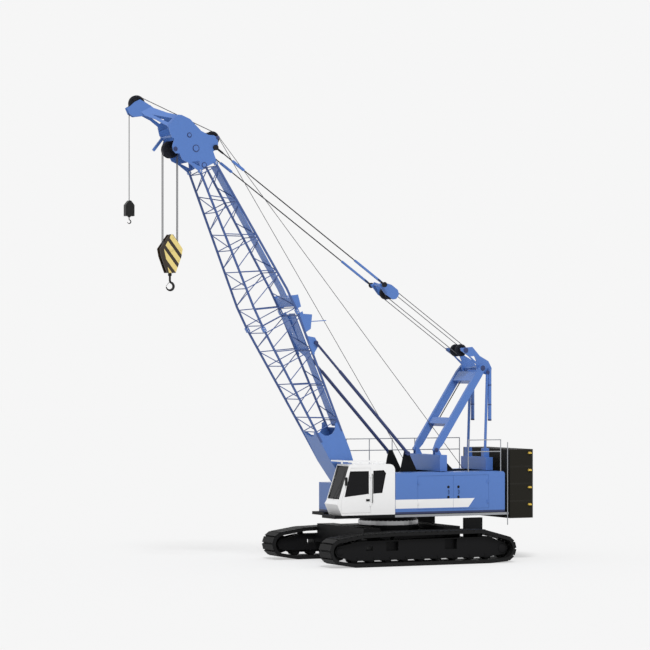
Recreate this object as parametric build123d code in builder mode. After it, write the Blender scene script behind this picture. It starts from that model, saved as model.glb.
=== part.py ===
from build123d import *
import os
from math import atan2, cos, degrees, hypot, pi, radians, sin

# Crawler crane with a lattice boom, on two tracks. Millimetres; +X forward, +Y left, +Z up.
# X is measured from the slewing axis here and every piece is written about the middle of the
# whole machine, so the stored origin is at the middle of its box, on the ground.

# Tracks, where the machine stands
TRACK_LENGTH = 6700
TRACK_GAUGE = 4450
SHOE_WIDTH = 850
SHOE_THICKNESS = 45
SHOE_LENGTH = 196
SHOE_PITCH = 222
SHOE_SEAT = 20
LINK_THICKNESS = 75
WHEEL_RADIUS = 300
IDLER_HEIGHT = 510
SPROCKET_HEIGHT = 460
ROLLER_RADIUS = 150
ROLLER_COUNT = 9
ROLLER_SIDES = 8
ROLLER_ROOM = 80
SEAT_GAP = 0.3

# Side frames
FRAME_WIDTH = 490
FRAME_TOP = 860
FRAME_BOTTOM = 200
FRAME_INNER_BOTTOM = 300
FRAME_PLATE = 55
FORK_ROOM = 240
SLOT_ROOM = 140
SHOE_CLEARANCE = 40

# Carbody and slewing ring
CARBODY_HALF = 1150
BEAM_DEPTH = 600
BEAM_BOTTOM = 560
BEAM_TOP = 1180
BEAM_LOW_TOP = 850
BEAM_SHOULDER = TRACK_GAUGE / 2 - SHOE_WIDTH / 2 - SHOE_CLEARANCE
SEAT_RADIUS = 1000
RING_BOTTOM = 1210
RING_HEIGHT = 130

# Revolving frame
DECK_BOTTOM = 1500
DECK_TOP = 1600
DECK_FRONT = 1850
DECK_TIP = 2030
DECK_REAR = -3674.7
DECK_HALF_WIDTH = 1550
TRAY_FRONT = 2680
WEB_INNER = 555
WEB_THICKNESS = 30
WEB_TOP = 2950
WEB_FRONT = 1450
CHEEK_TOP = 2130

# Housings beside the winches
HOUSING_INNER = 650
HOUSING_OUTER = 1550
HOUSING_TOP = 2930
HOUSING_FRONT = 500
HOUSING_REAR = -3530
HOUSING_WALL = 40
RIGHT_FRONT = 1780
RIGHT_FRONT_TOP = 2557
RIGHT_STEP = 600
DOOR_GAP = 6
DOOR_MEETING = -1616
SERVICE_DOOR_WIDTH = 1300
SERVICE_DOOR_BOTTOM = 1740
SERVICE_DOOR_TOP = 2820
HINGE_RADIUS = 14
HINGE_STAND_OFF = HINGE_RADIUS + 0.8

# Cab
CAB_INNER = 600
CAB_OUTER = 1550
CAB_REAR = 515
CAB_BOTTOM = 1600
CAB_ROOF = 3230
CAB_WALL = 50
CAB_REAR_ROUNDING = 200
CAB_CHIN_X = 2590
CAB_CHIN_Z = 1960
SCREEN_BOTTOM_X = 2520
SCREEN_BOTTOM_Z = 2070
SCREEN_TOP_X = 2135
PANE = 10
CAB_DOOR_REAR = 1395
CAB_DOOR_FRONT_TOP = 2090
CAB_DOOR_FRONT_BOTTOM = 2440
CAB_DOOR_SILL = 1680
CAB_DOOR_HEAD = 3110

# Counterweight
WEIGHT_FRONT = DECK_REAR - SEAT_GAP
WEIGHT_LENGTH = 900
WEIGHT_HALF_WIDTH = 1645
WEIGHT_BOTTOM = 1380
WEIGHT_SLAB = 567
WEIGHT_SLABS = 4
WEIGHT_SEAM = 0.5
LUG_REACH = 60
LUG_DROP = 130

# Gantry above the winches
GANTRY_TOP_X = -2610
GANTRY_TOP_Z = 6920
LEG_SIDE = 705
LEG_HALF_DEPTH = 122
LEG_HALF_WIDTH = 60
LEG_FOOT_X = -1380
LEG_FOOT_Z = 3640
LEG_HEAD_X = -3130
LEG_HEAD_Z = 6330
REAR_LEG_SIDE = 600
REAR_LEG_RADIUS = 42
REAR_FOOT_HEIGHT = 300
LIFT_RADIUS = 56
REAR_LEG_FOOT_X = -3305
REAR_LEG_HEAD_X = -3380
REAR_LEG_HEAD_Z = 6190
FRONT_BOX_X = -1340
REAR_BOX_X = -3180
BOX_LENGTH = 260
BOX_HALF_WIDTH = 1130
BOX_TOP = 3480
REAR_BOX_TOP = 3370
REAR_BOX_HALF_WIDTH = 880

# Winches: drum centres, barrel and flange
DRUM_BARREL = 270
DRUM_FLANGE = 410
MAIN_DRUM = (-820, 2480)
AUX_DRUM = (-1830, 2480)
LUFF_DRUM = (-2780, 2480)

# Boom, drawn at the angle of the photograph
BOOM_ANGLE = 63.35
FOOT_X = 1217
FOOT_Z = 1970
FOOT_SIDE = 500
FOOT_PIN = 45
PIN_GAP = 0.3
PLATE_END = 2720
CHORD_START = PLATE_END - 320
JOINT_AT = 6590
PARALLEL_TO = JOINT_AT + 810
LATTICE_END = 12050
HEAD_LENGTH = 1550
ARM_LENGTH = 960
ARM_ROOT = LATTICE_END + HEAD_LENGTH
ARM_NOSE = ARM_ROOT + ARM_LENGTH
CHORD_RADIUS = 35
LACING_RADIUS = 11
LACING_GAP = 75
COUPLING = 110
COUPLING_LENGTH = 70
MAIN_SHEAVE_AT = (LATTICE_END + 955, -754)
GUIDE_SHEAVE_AT = (LATTICE_END + 666, 725)
NOSE_SHEAVE_AT = (ARM_NOSE + 210, -1134)
STAY_PIN_AT = (LATTICE_END + 416, 510)
MAIN_PITCH_RADIUS = 250
NOSE_PITCH_RADIUS = 250
NOSE_INNER = 70
NOSE_PLATE = 25
GUIDE_PITCH_RADIUS = 210
HEAD_HALF_WIDTH = 465
HEAD_PLATE = 30

# Ropes and stays
ROPE_RADIUS = 13
WHEEL_SIDES = 12
FLANGE_WIDTH = 22
STAY_RADIUS = 18
BRIDLE_DISTANCE = 3670
BRIDLE_ARM = 450
LUFF_PITCH_RADIUS = 180
LUFF_SPREAD = 180
STAY_EYE = 25
STAY_SIDE = HEAD_HALF_WIDTH + STAY_EYE + SEAT_GAP

# Backstops
# The backstops stand outside the boom's upper chords, so that the rods can pass beside them
BACKSTOP_SIDE = 692
BACKSTOP_EYE = 41
BACKSTOP_FOOT_X = -376
BACKSTOP_FOOT_Z = 3540
BACKSTOP_HEAD_AT = (5400, 790)
BACKSTOP_TUBE_RADIUS = 52
BACKSTOP_ROD_RADIUS = 36
BACKSTOP_TUBE_LENGTH = 3650
BACKSTOP_ROD_LENGTH = 3150

# Hooks
BLOCK_TOP = 10570
BLOCK_SHEAVE_Z = 10110
BLOCK_BOTTOM = 9350
BLOCK_SPREAD = 45
HOOK_DROP = 590
AUX_TOP = 11610
AUX_BALL_TOP = 11530
AUX_BALL_BOTTOM = 11120
AUX_HOOK_DROP = 250
AUX_HALF = 145
WRAP_CLEARANCE = 5

BOOM = radians(BOOM_ANGLE)
ALONG = Vector(cos(BOOM), 0, sin(BOOM))
RISE = Vector(-sin(BOOM), 0, cos(BOOM))
LEFT = Vector(0, 1, 0)


def boom_point(along, rise, side=0):
    """A point measured along the boom from its foot pin, towards its upper face, and left."""
    return Vector(FOOT_X, side, FOOT_Z) + ALONG * along + RISE * rise


def side_plane(y):
    """The side view at y: its x is forward and its y is up, and it faces right."""
    return Plane.XZ.offset(-y)


def boom_plane(y):
    """The side view at y in the boom's own directions, from the foot pin."""
    return Plane(origin=(FOOT_X, y, FOOT_Z), x_dir=ALONG, z_dir=-LEFT)


def slab(outline, y_low, y_high, plane_at=side_plane, mode=Mode.ADD, rounding=0):
    """A plate with the given side outline, from y_low to y_high."""
    with BuildSketch(plane_at(y_high)) as face:
        with BuildLine():
            Polyline(*outline, close=True)
        make_face()
        if rounding:
            fillet(face.vertices(), rounding)
    extrude(face.sketch, amount=y_high - y_low, mode=mode)


def block(low, high, mode=Mode.ADD):
    """A rectangular block between two corners."""
    x0, y0, z0 = low
    x1, y1, z1 = high
    with BuildSketch(Plane.XY.offset(z0)) as face:
        with Locations(((x0 + x1) / 2, (y0 + y1) / 2)):
            Rectangle(x1 - x0, y1 - y0)
    extrude(face.sketch, amount=z1 - z0, mode=mode)


def tube(start, end, radius, mode=Mode.ADD):
    """A round bar from one point to another."""
    run = Vector(*end) - Vector(*start)
    with BuildSketch(Plane(origin=start, z_dir=run)) as face:
        Circle(radius)
    return extrude(face.sketch, amount=run.length, mode=mode)


def bar(start, end, radius, sides=8, mode=Mode.ADD):
    """A bar with flats for sides, the flats at the radius; it stands for a round one."""
    run = Vector(*end) - Vector(*start)
    facing = LEFT if abs(run.Y) < 0.7 * run.length else RISE
    with BuildSketch(Plane(origin=start, x_dir=facing, z_dir=run)) as face:
        RegularPolygon(radius, sides, major_radius=False, rotation=180 / sides)
    return extrude(face.sketch, amount=run.length, mode=mode)


def bars(runs, radius, sides=8, trim=0):
    """Bars along each run, short of its ends by trim, joined to the piece in one step."""
    pieces = []
    for start, end in runs:
        back = (end - start).normalized() * trim
        pieces.append(bar(start + back, end - back, radius, sides, Mode.PRIVATE))
    add(pieces)


def disc(plane, radius, sides, y_low, y_high):
    """A many-sided disc across the machine, one corner on the plane's own x axis."""
    with BuildSketch(Plane(origin=plane.origin + LEFT * y_high, x_dir=plane.x_dir, z_dir=-LEFT)) as face:
        RegularPolygon(radius, sides)
    extrude(face.sketch, amount=y_high - y_low)


def sheaves(plane, lines, pitch_radius, axle_radius, y_half):
    """Grooved wheels fixed on one axle; the middle of each rope is at pitch_radius."""
    floor = pitch_radius - ROPE_RADIUS - SEAT_GAP
    rim = pitch_radius + 2 * ROPE_RADIUS
    groove = ROPE_RADIUS + SEAT_GAP
    for y in lines:
        disc(plane, floor, WHEEL_SIDES, y - groove, y + groove)
        disc(plane, rim, WHEEL_SIDES, y - groove - FLANGE_WIDTH, y - groove)
        disc(plane, rim, WHEEL_SIDES, y + groove, y + groove + FLANGE_WIDTH)
    disc(plane, axle_radius, 12, -y_half, y_half)


def drum(centre, y_half):
    """A winch drum with two flanges, turning on stub shafts between the frame's webs."""
    plane = Plane(origin=(centre[0], 0, centre[1]), x_dir=(1, 0, 0), z_dir=-LEFT)
    flange = 40
    disc(plane, DRUM_BARREL, 16, -y_half, y_half)
    disc(plane, DRUM_FLANGE, 16, y_half - flange, y_half)
    disc(plane, DRUM_FLANGE, 16, -y_half, -y_half + flange)
    disc(plane, 80, 12, -WEB_INNER + SEAT_GAP, WEB_INNER - SEAT_GAP)


os.makedirs("parts", exist_ok=True)
WEIGHT_BACK = WEIGHT_FRONT - WEIGHT_LENGTH
AUX_X = boom_point(*NOSE_SHEAVE_AT).X + NOSE_PITCH_RADIUS
MIDDLE_X = (AUX_X + AUX_HALF + WEIGHT_BACK) / 2


def keep(piece, name):
    """Write a finished piece about the middle of the machine."""
    placed = piece.part.moved(Location((-MIDDLE_X, 0, 0)))
    placed.label = name
    piece.part.label = name
    export_step(placed, f"parts/{name}.step")


# Undercarriage
TREAD = SHOE_THICKNESS + LINK_THICKNESS
WHEEL_X = TRACK_LENGTH / 2 - WHEEL_RADIUS - TREAD
WHEEL_REACH = WHEEL_X - WHEEL_RADIUS
ROLLER_SPAN = 2 * (WHEEL_REACH - ROLLER_RADIUS - ROLLER_ROOM)
ROLLER_Z = TREAD + ROLLER_RADIUS + SEAT_GAP
ROLLER_FLAT = ROLLER_RADIUS * cos(pi / ROLLER_SIDES)
CARRIER_RADIUS = 60
# Where the links turn: x, z, radius of the inner face of the links
LINK_TURNS = [
    (WHEEL_X, IDLER_HEIGHT, WHEEL_RADIUS),
    (-WHEEL_X, SPROCKET_HEIGHT, WHEEL_RADIUS),
    (ROLLER_SPAN / 2, TREAD + ROLLER_RADIUS, ROLLER_RADIUS),
    (-ROLLER_SPAN / 2, TREAD + ROLLER_RADIUS, ROLLER_RADIUS),
    (0.734 * WHEEL_X, FRAME_TOP + 10, CARRIER_RADIUS),
    (0.307 * WHEEL_X, FRAME_TOP + 50, CARRIER_RADIUS),
    (-0.734 * WHEEL_X, FRAME_TOP + 60, CARRIER_RADIUS),
]
ROLLER_X = [ROLLER_SPAN * (i / (ROLLER_COUNT - 1) - 0.5) for i in range(ROLLER_COUNT)]
CHANNEL_HALF = FRAME_WIDTH / 2 - FRAME_PLATE
BRACKET_REAR = -WHEEL_X + 350
BRACKET_FRONT = BRACKET_REAR + 650
BRACKET_TOP = 1440


def link_hull(extra):
    """Outline of the stretched links at a distance outside their inner face."""
    for x, z, radius in LINK_TURNS:
        with Locations((x, z)):
            Circle(radius + extra)
    make_hull()


def make_track(side):
    y = side * TRACK_GAUGE / 2
    with BuildSketch() as outer:
        link_hull(LINK_THICKNESS)
    wire = outer.sketch.face().outer_wire()
    count = round(wire.length / SHOE_PITCH)
    places = []
    for i in range(count):
        point = wire.position_at(i / count)
        run = wire.tangent_at(i / count)
        outward = Vector(run.Y, -run.X)
        if outward.dot(point - Vector(0, IDLER_HEIGHT)) < 0:
            outward = -outward
        middle = point + outward * ((SHOE_THICKNESS - SHOE_SEAT) / 2)
        places.append(Location((middle.X, middle.Y, 0), (0, 0, degrees(atan2(run.Y, run.X)))))
    with BuildPart() as track:
        with BuildSketch(side_plane(y + SHOE_WIDTH / 2)) as loop:
            link_hull(LINK_THICKNESS)
            with Locations(*places):
                Rectangle(SHOE_LENGTH, SHOE_THICKNESS + SHOE_SEAT)
            with BuildSketch(mode=Mode.SUBTRACT):
                link_hull(0)
        extrude(amount=SHOE_WIDTH)
    return track


def corner_arc(x, z, radius, first, last):
    """Three points on a rounded end, from one angle to the other."""
    turns = [radians(first + (last - first) * i / 2) for i in range(3)]
    return [(x + radius * cos(t), z + radius * sin(t)) for t in turns]


def make_side_frame(side):
    y = side * TRACK_GAUGE / 2
    low, high = y - FRAME_WIDTH / 2, y + FRAME_WIDTH / 2
    outer = high if side > 0 else low
    inner = low if side > 0 else high
    reach = WHEEL_REACH - FORK_ROOM
    outline = [
        *corner_arc(WHEEL_X, IDLER_HEIGHT, 180, -60, 60),
        (reach - 140, FRAME_TOP - 40),
        (-reach - 60, FRAME_TOP),
        *corner_arc(-WHEEL_X, SPROCKET_HEIGHT, 200, 120, 240),
        (-reach - 60, FRAME_BOTTOM),
        (reach + 60, FRAME_BOTTOM),
    ]
    with BuildPart() as frame:
        slab(outline, low, high)
        # fork for the idler, slot for the sprocket, channel over the rollers, shorter inner plate
        block((reach, y - CHANNEL_HALF, 0), (4000, y + CHANNEL_HALF, 1200), Mode.SUBTRACT)
        slot = -WHEEL_REACH + SLOT_ROOM
        block((-4000, y - CHANNEL_HALF, 0), (slot, y + CHANNEL_HALF, 1200), Mode.SUBTRACT)
        block((-4000, y - CHANNEL_HALF, 0), (4000, y + CHANNEL_HALF, ROLLER_Z + ROLLER_RADIUS + 30), Mode.SUBTRACT)
        trimmed = sorted((inner, inner + side * FRAME_PLATE))
        block((-4000, trimmed[0], 0), (4000, trimmed[1], FRAME_INNER_BOTTOM), Mode.SUBTRACT)
        # see-through hole, then deep pockets in the outer face: x, z, width, height
        block((1762, low, 516), (2009, high, 650), Mode.SUBTRACT)
        depth = 150 * side
        for x, z, width, height in ((1070, 640, 430, 300), (-1040, 650, 430, 330)):
            block(
                (x - width / 2, min(outer, outer - depth), z - height / 2),
                (x + width / 2, max(outer, outer - depth), z + height / 2),
                Mode.SUBTRACT,
            )
        for x in ROLLER_X:
            bar((x, y - CHANNEL_HALF, ROLLER_Z), (x, y + CHANNEL_HALF, ROLLER_Z), ROLLER_FLAT, ROLLER_SIDES)
        # skids under the upper run of the track
        for x, z, radius in LINK_TURNS[4:]:
            top = z + radius - SEAT_GAP
            slab([(x - 110, z - 100), (x + 110, z - 100), (x + 4, top), (x - 4, top)], y - 120, y + 120)
        # bracket on the inner side, over the rear end of the track
        shoulder = side * BEAM_SHOULDER
        standing = sorted((shoulder, shoulder - side * 140))
        block((BRACKET_REAR, min(shoulder, inner), 520), (BRACKET_FRONT, max(shoulder, inner), 800))
        block((BRACKET_REAR, standing[0], 520), (BRACKET_FRONT, standing[1], BRACKET_TOP))
    return frame


def make_idler(side):
    y = side * TRACK_GAUGE / 2
    with BuildPart() as idler:
        centre = Plane(origin=(WHEEL_X, 0, IDLER_HEIGHT), x_dir=(1, 0, 0), z_dir=-LEFT)
        disc(centre, WHEEL_RADIUS - SEAT_GAP, WHEEL_SIDES, y - 130, y + 130)
        disc(centre, 110, 12, y - CHANNEL_HALF, y + CHANNEL_HALF)
    return idler


def make_sprocket(side):
    y = side * TRACK_GAUGE / 2
    teeth = 12
    outline = []
    for i in range(teeth):
        for turn, radius in ((0, 1), (0.22, 1), (0.38, 0.88), (0.84, 0.88)):
            angle = 2 * pi * (i + turn) / teeth
            reach = radius * (WHEEL_RADIUS - SEAT_GAP)
            outline.append((-WHEEL_X + reach * cos(angle), SPROCKET_HEIGHT + reach * sin(angle)))
    with BuildPart() as sprocket:
        slab(outline, y - 60, y + 60)
        centre = Plane(origin=(-WHEEL_X, 0, SPROCKET_HEIGHT), x_dir=(1, 0, 0), z_dir=-LEFT)
        disc(centre, 150, 12, y - CHANNEL_HALF, y + CHANNEL_HALF)
        # drive gearbox on the inner side of the frame
        inner = y - side * FRAME_WIDTH / 2
        end = inner - side * 170
        disc(centre, 185, 16, min(inner, end), max(inner, end))
    return sprocket


for side, word in ((1, "left"), (-1, "right")):
    keep(make_track(side), f"track_{word}")
    keep(make_side_frame(side), f"side_frame_{word}")
    keep(make_idler(side), f"idler_{word}")
    keep(make_sprocket(side), f"sprocket_{word}")

FRAME_INNER = TRACK_GAUGE / 2 - FRAME_WIDTH / 2
with BuildPart() as carbody:
    block((-CARBODY_HALF, -CARBODY_HALF, 640), (CARBODY_HALF, CARBODY_HALF, 1060))
    bar((0, 0, 1000), (0, 0, RING_BOTTOM), SEAT_RADIUS, 32)
    for end in (1, -1):
        near, far = sorted((end * CARBODY_HALF, end * (CARBODY_HALF + BEAM_DEPTH)))
        block((near, -FRAME_INNER, BEAM_BOTTOM), (far, FRAME_INNER, BEAM_LOW_TOP))
        block((near, -BEAM_SHOULDER, BEAM_BOTTOM), (far, BEAM_SHOULDER, BEAM_TOP))
keep(carbody, "carbody")

with BuildPart() as slewing_ring:
    bar((0, 0, RING_BOTTOM), (0, 0, RING_BOTTOM + RING_HEIGHT), SEAT_RADIUS - 20, 32)
keep(slewing_ring, "slewing_ring")

# Superstructure
RING_TOP = RING_BOTTOM + RING_HEIGHT
WEB_OUTER = WEB_INNER + WEB_THICKNESS
with BuildPart() as deck:
    bar((0, 0, RING_TOP + SEAT_GAP), (0, 0, DECK_BOTTOM), SEAT_RADIUS - 70, 32)
    block((DECK_REAR, -DECK_HALF_WIDTH, DECK_BOTTOM), (DECK_FRONT, DECK_HALF_WIDTH, DECK_TOP))
    block((DECK_FRONT, CAB_INNER, DECK_BOTTOM), (TRAY_FRONT, DECK_HALF_WIDTH, DECK_TOP))
    block((DECK_FRONT, -DECK_HALF_WIDTH, DECK_BOTTOM), (DECK_TIP, -HOUSING_INNER, DECK_TOP))
    for low in (-WEB_OUTER, WEB_INNER):
        slab(
            [
                (WEB_FRONT, DECK_TOP),
                (WEB_FRONT, FOOT_Z),
                (WEB_FRONT - 90, CHEEK_TOP),
                (800, CHEEK_TOP + 60),
                (-150, WEB_TOP),
                (DECK_REAR, WEB_TOP),
                (DECK_REAR, DECK_TOP),
            ],
            low,
            low + WEB_THICKNESS,
        )
    for low in (-445, 415):
        slab(
            [(WEB_FRONT, DECK_TOP), (WEB_FRONT, FOOT_Z), (WEB_FRONT - 90, CHEEK_TOP), (960, CHEEK_TOP), (880, DECK_TOP)],
            low,
            low + WEB_THICKNESS,
        )
    for low in (-WEB_OUTER, WEB_INNER):
        slab(
            [
                (BACKSTOP_FOOT_X + 230, WEB_TOP - 40),
                (BACKSTOP_FOOT_X + 70, BACKSTOP_FOOT_Z + 70),
                (BACKSTOP_FOOT_X - 70, BACKSTOP_FOOT_Z + 70),
                (BACKSTOP_FOOT_X - 420, WEB_TOP - 40),
            ],
            low,
            low + WEB_THICKNESS,
        )
    for low, high in ((-WEB_OUTER, -415), (415, WEB_OUTER)):
        tube((FOOT_X, low, FOOT_Z), (FOOT_X, high, FOOT_Z), FOOT_PIN)
keep(deck, "deck")


def make_housing(side, front, profile):
    """A hollow housing, open below and at its service doors."""
    low, high = (HOUSING_INNER, HOUSING_OUTER) if side > 0 else (-HOUSING_OUTER, -HOUSING_INNER)
    with BuildPart() as housing:
        slab(profile, low, high)
        inside = [(x + dx * HOUSING_WALL, z - dz * HOUSING_WALL) for (x, z), (dx, dz) in zip(profile, front)]
        slab(inside, low + HOUSING_WALL, high - HOUSING_WALL, mode=Mode.SUBTRACT)
    return housing


def cut_door(x_low, x_high, side):
    """Opening for a service door in the outer wall of a housing."""
    edge = side * HOUSING_OUTER
    wall = side * (HOUSING_OUTER - 2 * HOUSING_WALL)
    block(
        (x_low - DOOR_GAP, min(edge, wall), SERVICE_DOOR_BOTTOM - DOOR_GAP),
        (x_high + DOOR_GAP, max(edge, wall), SERVICE_DOOR_TOP + DOOR_GAP),
        Mode.SUBTRACT,
    )


# Housing outlines, x and z, with the directions in which each corner moves inwards
LEFT_PROFILE = [
    (HOUSING_REAR, DECK_TOP),
    (HOUSING_FRONT, DECK_TOP),
    (HOUSING_FRONT, HOUSING_TOP),
    (HOUSING_REAR + 60, HOUSING_TOP),
    (HOUSING_REAR, HOUSING_TOP - 60),
]
LEFT_INWARD = [(1, 0), (-1, 0), (-1, 1), (1, 1), (1, 1)]
RIGHT_PROFILE = [
    (HOUSING_REAR, DECK_TOP),
    (RIGHT_FRONT, DECK_TOP),
    (RIGHT_FRONT, RIGHT_FRONT_TOP),
    (RIGHT_STEP, RIGHT_FRONT_TOP),
    (RIGHT_STEP - 150, HOUSING_TOP),
    (HOUSING_REAR + 60, HOUSING_TOP),
    (HOUSING_REAR, HOUSING_TOP - 60),
]
RIGHT_INWARD = [(1, 0), (-1, 0), (-1, 1), (-1, 1), (-1, 1), (1, 1), (1, 1)]
FRONT_DOOR = (DOOR_MEETING + DOOR_GAP / 2, DOOR_MEETING + DOOR_GAP / 2 + SERVICE_DOOR_WIDTH)
REAR_DOOR = (DOOR_MEETING - DOOR_GAP / 2 - SERVICE_DOOR_WIDTH, DOOR_MEETING - DOOR_GAP / 2)
ENGINE_DOOR = (-2500, -1100)

left_housing = make_housing(1, LEFT_INWARD, LEFT_PROFILE)
with left_housing:
    cut_door(*FRONT_DOOR, 1)
    cut_door(*REAR_DOOR, 1)
keep(left_housing, "left_housing")

right_housing = make_housing(-1, RIGHT_INWARD, RIGHT_PROFILE)
with right_housing:
    cut_door(*ENGINE_DOOR, -1)
keep(right_housing, "right_housing")


def make_service_door(x_low, x_high, hinge_x, side):
    """A housing door with its hinge knuckles; the axis stands just outside the wall."""
    edge = side * HOUSING_OUTER
    wall = side * (HOUSING_OUTER - HOUSING_WALL)
    hinge_y = side * (HOUSING_OUTER + HINGE_STAND_OFF)
    with BuildPart() as door:
        block((x_low, min(edge, wall), SERVICE_DOOR_BOTTOM), (x_high, max(edge, wall), SERVICE_DOOR_TOP))
        for z in (SERVICE_DOOR_BOTTOM + 160, SERVICE_DOOR_TOP - 260):
            inward = 1 if hinge_x == x_low else -1
            block(
                (min(hinge_x, hinge_x + inward * 60), min(edge, hinge_y + side * 4), z),
                (max(hinge_x, hinge_x + inward * 60), max(edge, hinge_y + side * 4), z + 100),
            )
            bar((hinge_x, hinge_y, z), (hinge_x, hinge_y, z + 100), HINGE_RADIUS, 12)
    return door


keep(make_service_door(*FRONT_DOOR, FRONT_DOOR[1], 1), "service_door_front")
keep(make_service_door(*REAR_DOOR, REAR_DOOR[0], 1), "service_door_rear")
keep(make_service_door(*ENGINE_DOOR, ENGINE_DOOR[1], -1), "engine_door")

with BuildPart() as engine:
    block((-2600, -1350, DECK_TOP), (-1000, -780, 2550))
keep(engine, "engine")

with BuildPart() as hydraulic_tank:
    block((-2500, 800, DECK_TOP), (-900, 1350, 2400))
keep(hydraulic_tank, "hydraulic_tank")

# Cab: side outline, from the rear sill forward and round
CAB_PROFILE = [
    (CAB_REAR, CAB_BOTTOM),
    (CAB_CHIN_X - 170, CAB_BOTTOM),
    (CAB_CHIN_X, CAB_CHIN_Z),
    (SCREEN_BOTTOM_X, SCREEN_BOTTOM_Z),
    (SCREEN_TOP_X, CAB_ROOF),
    (CAB_REAR, CAB_ROOF),
]
DOOR_OUTLINE = [
    (CAB_DOOR_REAR, CAB_DOOR_SILL),
    (CAB_DOOR_FRONT_BOTTOM, CAB_DOOR_SILL),
    (CAB_DOOR_FRONT_BOTTOM, SCREEN_BOTTOM_Z - 20),
    (CAB_DOOR_FRONT_TOP, CAB_DOOR_HEAD),
    (CAB_DOOR_REAR, CAB_DOOR_HEAD),
]
DOOR_WINDOW = [(1465, 2290), (2320, 2200), (2120, 3010), (1465, 3010)]
REAR_SIDE_WINDOW = [(985, 2310), (1290, 2290), (1290, 3020), (930, 3030), (850, 2940)]
RIGHT_SIDE_WINDOW = [(700, 2300), (2250, 2200), (2060, 3010), (700, 3010)]
SCREEN_TILT = degrees(atan2(SCREEN_BOTTOM_X - SCREEN_TOP_X, CAB_ROOF - SCREEN_BOTTOM_Z))
SCREEN_LENGTH = hypot(SCREEN_BOTTOM_X - SCREEN_TOP_X, CAB_ROOF - SCREEN_BOTTOM_Z)
SCREEN_PLANE = Plane(
    origin=((SCREEN_BOTTOM_X + SCREEN_TOP_X) / 2, (CAB_INNER + CAB_OUTER) / 2, (SCREEN_BOTTOM_Z + CAB_ROOF) / 2),
    x_dir=LEFT,
    z_dir=(cos(radians(SCREEN_TILT)), 0, sin(radians(SCREEN_TILT))),
)
CAB_WIDTH = CAB_OUTER - CAB_INNER


def screen(thickness, mode=Mode.ADD, outset=0):
    """The windscreen's opening or pane, through the slanted front."""
    with BuildSketch(SCREEN_PLANE.offset(outset)) as face:
        Rectangle(CAB_WIDTH - 130, SCREEN_LENGTH - 130)
    extrude(face.sketch, amount=-thickness, mode=mode)


def rear_pane(thickness, outset=0, mode=Mode.ADD):
    block(
        (CAB_REAR + outset, CAB_INNER + 120, 2300),
        (CAB_REAR + outset + thickness, CAB_OUTER - 120, 3000),
        mode,
    )


with BuildPart() as cab_shell:
    for inset in (0, CAB_WALL):
        with BuildSketch(side_plane(CAB_OUTER - inset)) as side_view:
            with BuildLine():
                Polyline(*CAB_PROFILE, close=True)
            make_face()
            upper = side_view.vertices().sort_by(Axis.Y)[-2:].sort_by(Axis.X)
            fillet(upper[0], CAB_REAR_ROUNDING)
            if inset:
                offset(amount=-inset, kind=Kind.INTERSECTION)
        extrude(amount=CAB_WIDTH - 2 * inset, mode=Mode.SUBTRACT if inset else Mode.ADD)
    with BuildSketch(side_plane(CAB_OUTER)) as door_cut:
        with BuildLine():
            Polyline(*DOOR_OUTLINE, close=True)
        make_face()
        offset(amount=DOOR_GAP, kind=Kind.INTERSECTION)
    extrude(amount=CAB_WALL, mode=Mode.SUBTRACT)
    slab(REAR_SIDE_WINDOW, CAB_OUTER - CAB_WALL, CAB_OUTER, mode=Mode.SUBTRACT)
    slab(RIGHT_SIDE_WINDOW, CAB_INNER, CAB_INNER + CAB_WALL, mode=Mode.SUBTRACT)
    screen(2 * CAB_WALL, Mode.SUBTRACT, CAB_WALL / 2)
    rear_pane(CAB_WALL, mode=Mode.SUBTRACT)
keep(cab_shell, "cab_shell")

PANE_IN = (CAB_WALL - PANE) / 2
with BuildPart() as cab_windows:
    slab(REAR_SIDE_WINDOW, CAB_OUTER - PANE_IN - PANE, CAB_OUTER - PANE_IN)
    slab(RIGHT_SIDE_WINDOW, CAB_INNER + PANE_IN, CAB_INNER + PANE_IN + PANE)
    screen(PANE, outset=-PANE_IN)
    rear_pane(PANE, PANE_IN)
keep(cab_windows, "cab_windows")

CAB_HINGE_X = CAB_DOOR_REAR
CAB_HINGE_Y = CAB_OUTER + HINGE_STAND_OFF
with BuildPart() as cab_door:
    slab(DOOR_OUTLINE, CAB_OUTER - CAB_WALL, CAB_OUTER)
    slab(DOOR_WINDOW, CAB_OUTER - CAB_WALL, CAB_OUTER, mode=Mode.SUBTRACT)
    for z in (CAB_DOOR_SILL + 200, CAB_DOOR_HEAD - 300):
        block((CAB_HINGE_X, CAB_OUTER, z), (CAB_HINGE_X + 50, CAB_HINGE_Y + 4, z + 90))
        bar((CAB_HINGE_X, CAB_HINGE_Y, z), (CAB_HINGE_X, CAB_HINGE_Y, z + 90), HINGE_RADIUS, 12)
keep(cab_door, "cab_door")

with BuildPart() as cab_door_window:
    slab(DOOR_WINDOW, CAB_OUTER - PANE_IN - PANE, CAB_OUTER - PANE_IN)
keep(cab_door_window, "cab_door_window")

CAB_FLOOR = CAB_BOTTOM + CAB_WALL
with BuildPart() as seat:
    block((950, 860, CAB_FLOOR), (1350, 1290, CAB_FLOOR + 330))
    slab(
        [
            (900, CAB_FLOOR + 330),
            (1480, CAB_FLOOR + 330),
            (1480, CAB_FLOOR + 450),
            (1010, CAB_FLOOR + 450),
            (880, CAB_FLOOR + 1130),
            (760, CAB_FLOOR + 1130),
        ],
        830,
        1320,
    )
keep(seat, "seat")

with BuildPart() as consoles:
    for low in (690, 1345):
        block((1000, low, CAB_FLOOR), (1650, low + 115, CAB_FLOOR + 560))
        bar((1560, low + 57, CAB_FLOOR + 560), (1560, low + 57, CAB_FLOOR + 760), 22)
keep(consoles, "consoles")

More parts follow.
